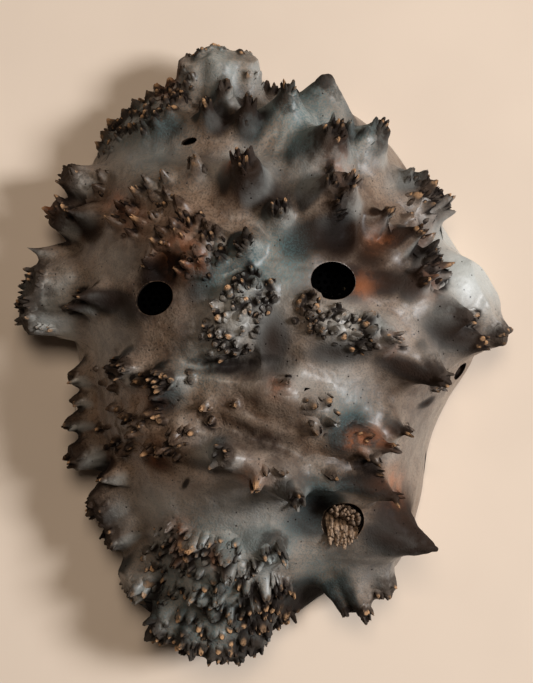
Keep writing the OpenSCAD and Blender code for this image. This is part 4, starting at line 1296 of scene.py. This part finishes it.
def brass_finish():
    finish, tree, shader, where = new_finish("dull_screw_brass")
    rubbed = use_group(tree, mottling, Where=where, Scale=300.0)
    colour = layered(tree, (0.3, 0.2, 0.08), (rubbed["Clouds"], (0.66, 0.48, 0.2)))
    wear(tree, shader, colour, between(tree, rubbed["Flecks"], 0.0, 1.0, 0.28, 0.5))
    shader.inputs["Metallic"].default_value = 1.0
    return finish


points, faces, screw_places = [], [], []
for degrees in SCREW_DIRECTIONS:
    edge_at = rim_point(np.array([math.radians(degrees)]))
    x, y = moved_in(edge_at, RIM_LIP + LEDGE / 2)[0]
    screw_places.append((x, y))
    faces += rod_faces(len(points), SCREW_SIDES, len(SCREW_PROFILE))
    for radius, height in SCREW_PROFILE:
        for angle in 2 * math.pi * np.arange(SCREW_SIDES) / SCREW_SIDES:
            points.append((x + radius * math.cos(angle), y + radius * math.sin(angle), height))
screws = mesh_piece("slotted_back_screws", points, faces, "burl")
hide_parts("back_screws")
screws.data.materials.append(brass_finish())
cut_away(screws, *slot_shapes(screw_places))
screws.data.shade_smooth()
screws.data.set_sharp_from_angle(angle=math.radians(30))
print("screws:", len(screw_places))

# %% [markdown]
# The screens behind the sound holes are perforated discs, painted matt black and made nearly pure black as
# painted shade, so that the holes look empty. The cane pins are pale, with fibres along them.

# %% Screens and pins
def screen_finish():
    finish, tree, shader, where = new_finish("matt_black_screen")
    worn = use_group(tree, mottling, Where=where, Scale=120.0)
    specks = between(tree, worn["Flecks"], 0.75, 1.0)
    # Matt black paint, darker than real paint: painted shade in the sound holes.
    colour = layered(tree, (0.0004, 0.0004, 0.0004), (specks, (0.001, 0.001, 0.001)))
    wear(tree, shader, colour, between(tree, worn["Clouds"], 0.0, 1.0, 0.7, 0.9))
    shader.inputs["Specular IOR Level"].default_value = 0.01
    return finish


black_screen = screen_finish()
pin_cane = streaked_finish(
    "bare_pin_cane", (1.0, 1.0, 0.06), 1400.0, 60.0, (0.42, 0.29, 0.16), (0.64, 0.5, 0.3),
    (0.34, 0.22, 0.11), 0.3, (0.4, 0.6), (0.4, 0.0003))
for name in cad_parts:
    if name.endswith("_screen"):
        finish_node(name, black_screen)
    if name.startswith("pin_row_"):
        finish_node(name, pin_cane)
print("pin rows:", sum(n.startswith("pin_row_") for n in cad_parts))

# %% [markdown]
# The seeds are dry beans, wrinkled and a little flat, with a dent where they hung in the pod. Each
# lane's seeds ride on that lane's own body, so they run along it when the burl is tipped.

# %% Dried seeds
SEED_SPREAD = 10.2
SEEDS_IN_LANE = 6
SEED_SIZE, SEED_WIDE, SEED_HIGH = 0.94, 0.93, 0.86
SCAR_DEPTH = 0.12


def seed_shape(middle, radius, seed):
    shape = bmesh.new()
    bmesh.ops.create_icosphere(shape, subdivisions=3, radius=1)
    turned = Vector((math.cos(seed), math.sin(2.1 * seed), 0.4)).to_track_quat("X", "Z").to_matrix()
    points = []
    for vertex in shape.verts:
        way = vertex.co.normalized()
        wrinkle = noise.noise(way * 4 + Vector((seed, 0, 0))) * 0.05 + noise.noise(way * 9) * 0.02
        scar = SCAR_DEPTH * max(0.0, way.x - 0.9) / 0.1
        grown = Vector((way.x, way.y * SEED_WIDE, way.z * SEED_HIGH)) * (SEED_SIZE + wrinkle - scar)
        points.append(tuple(turned @ grown * radius + middle))
    faces = [[v.index for v in f.verts] for f in shape.faces]
    shape.free()
    return points, faces


def seed_finish():
    finish, tree, shader, where = new_finish("dry_seed_coat")
    spots = use_group(tree, mottling, Where=where, Scale=220.0)
    dots = use_group(tree, pin_holes, Where=where, Scale=900.0, Size=0.3, Share=0.25)
    colour = layered(tree, (0.5, 0.36, 0.19), (spots["Clouds"], (0.74, 0.62, 0.4)),
                     (times(tree, dots["Mask"], 0.7), (0.2, 0.1, 0.045)))
    rough = between(tree, spots["Flecks"], 0.0, 1.0, 0.35, 0.55)
    wear(tree, shader, colour, rough, spots["Flecks"], 0.3, 0.0003)
    return finish


seed_coat = seed_finish()
for name in [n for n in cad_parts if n.startswith("seeds_")]:
    low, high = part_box(name)
    lane = name.split("_")[1]
    radius = (high.z - low.z) / 2 / MM
    points, faces = [], []
    for i in range(SEEDS_IN_LANE):
        middle = (low + high) / 2 / MM
        middle.y += (i - (SEEDS_IN_LANE - 1) / 2) * SEED_SPREAD
        more_points, more_faces = seed_shape(middle, radius, 10 * int(lane) + i)
        faces += [[v + len(points) for v in f] for f in more_faces]
        points += more_points
    beans = mesh_piece("dried_seeds_" + lane, points, faces, "lane_" + lane)
    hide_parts(name)
    beans.data.materials.append(seed_coat)
    beans.data.shade_smooth()

# %% [markdown]
# The floor is a wide pale sheet of paper, so that the burl's shadow shows. It isn't part of the object.

# %% Floor and finish
SHEET_REACH = 6
SHEET_BELOW = -0.0005


def floor_finish():
    finish, tree, shader, where = new_finish("pale_paper")
    tint = use_group(tree, mottling, Where=where, Scale=3.0)
    wear(tree, shader, layered(tree, (0.64, 0.52, 0.42), (tint["Clouds"], (0.7, 0.57, 0.46))), 0.9)
    return finish


sheet = bpy.data.meshes.new("paper_sheet")
turns = ((-1, -1), (1, -1), (1, 1), (-1, 1))
sheet_corners = [(SHEET_REACH * x, SHEET_REACH * y, SHEET_BELOW) for x, y in turns]
sheet.from_pydata(sheet_corners, [], [(0, 1, 2, 3)])
sheet.materials.append(floor_finish())
paper = put_in_scene("paper_sheet", sheet)
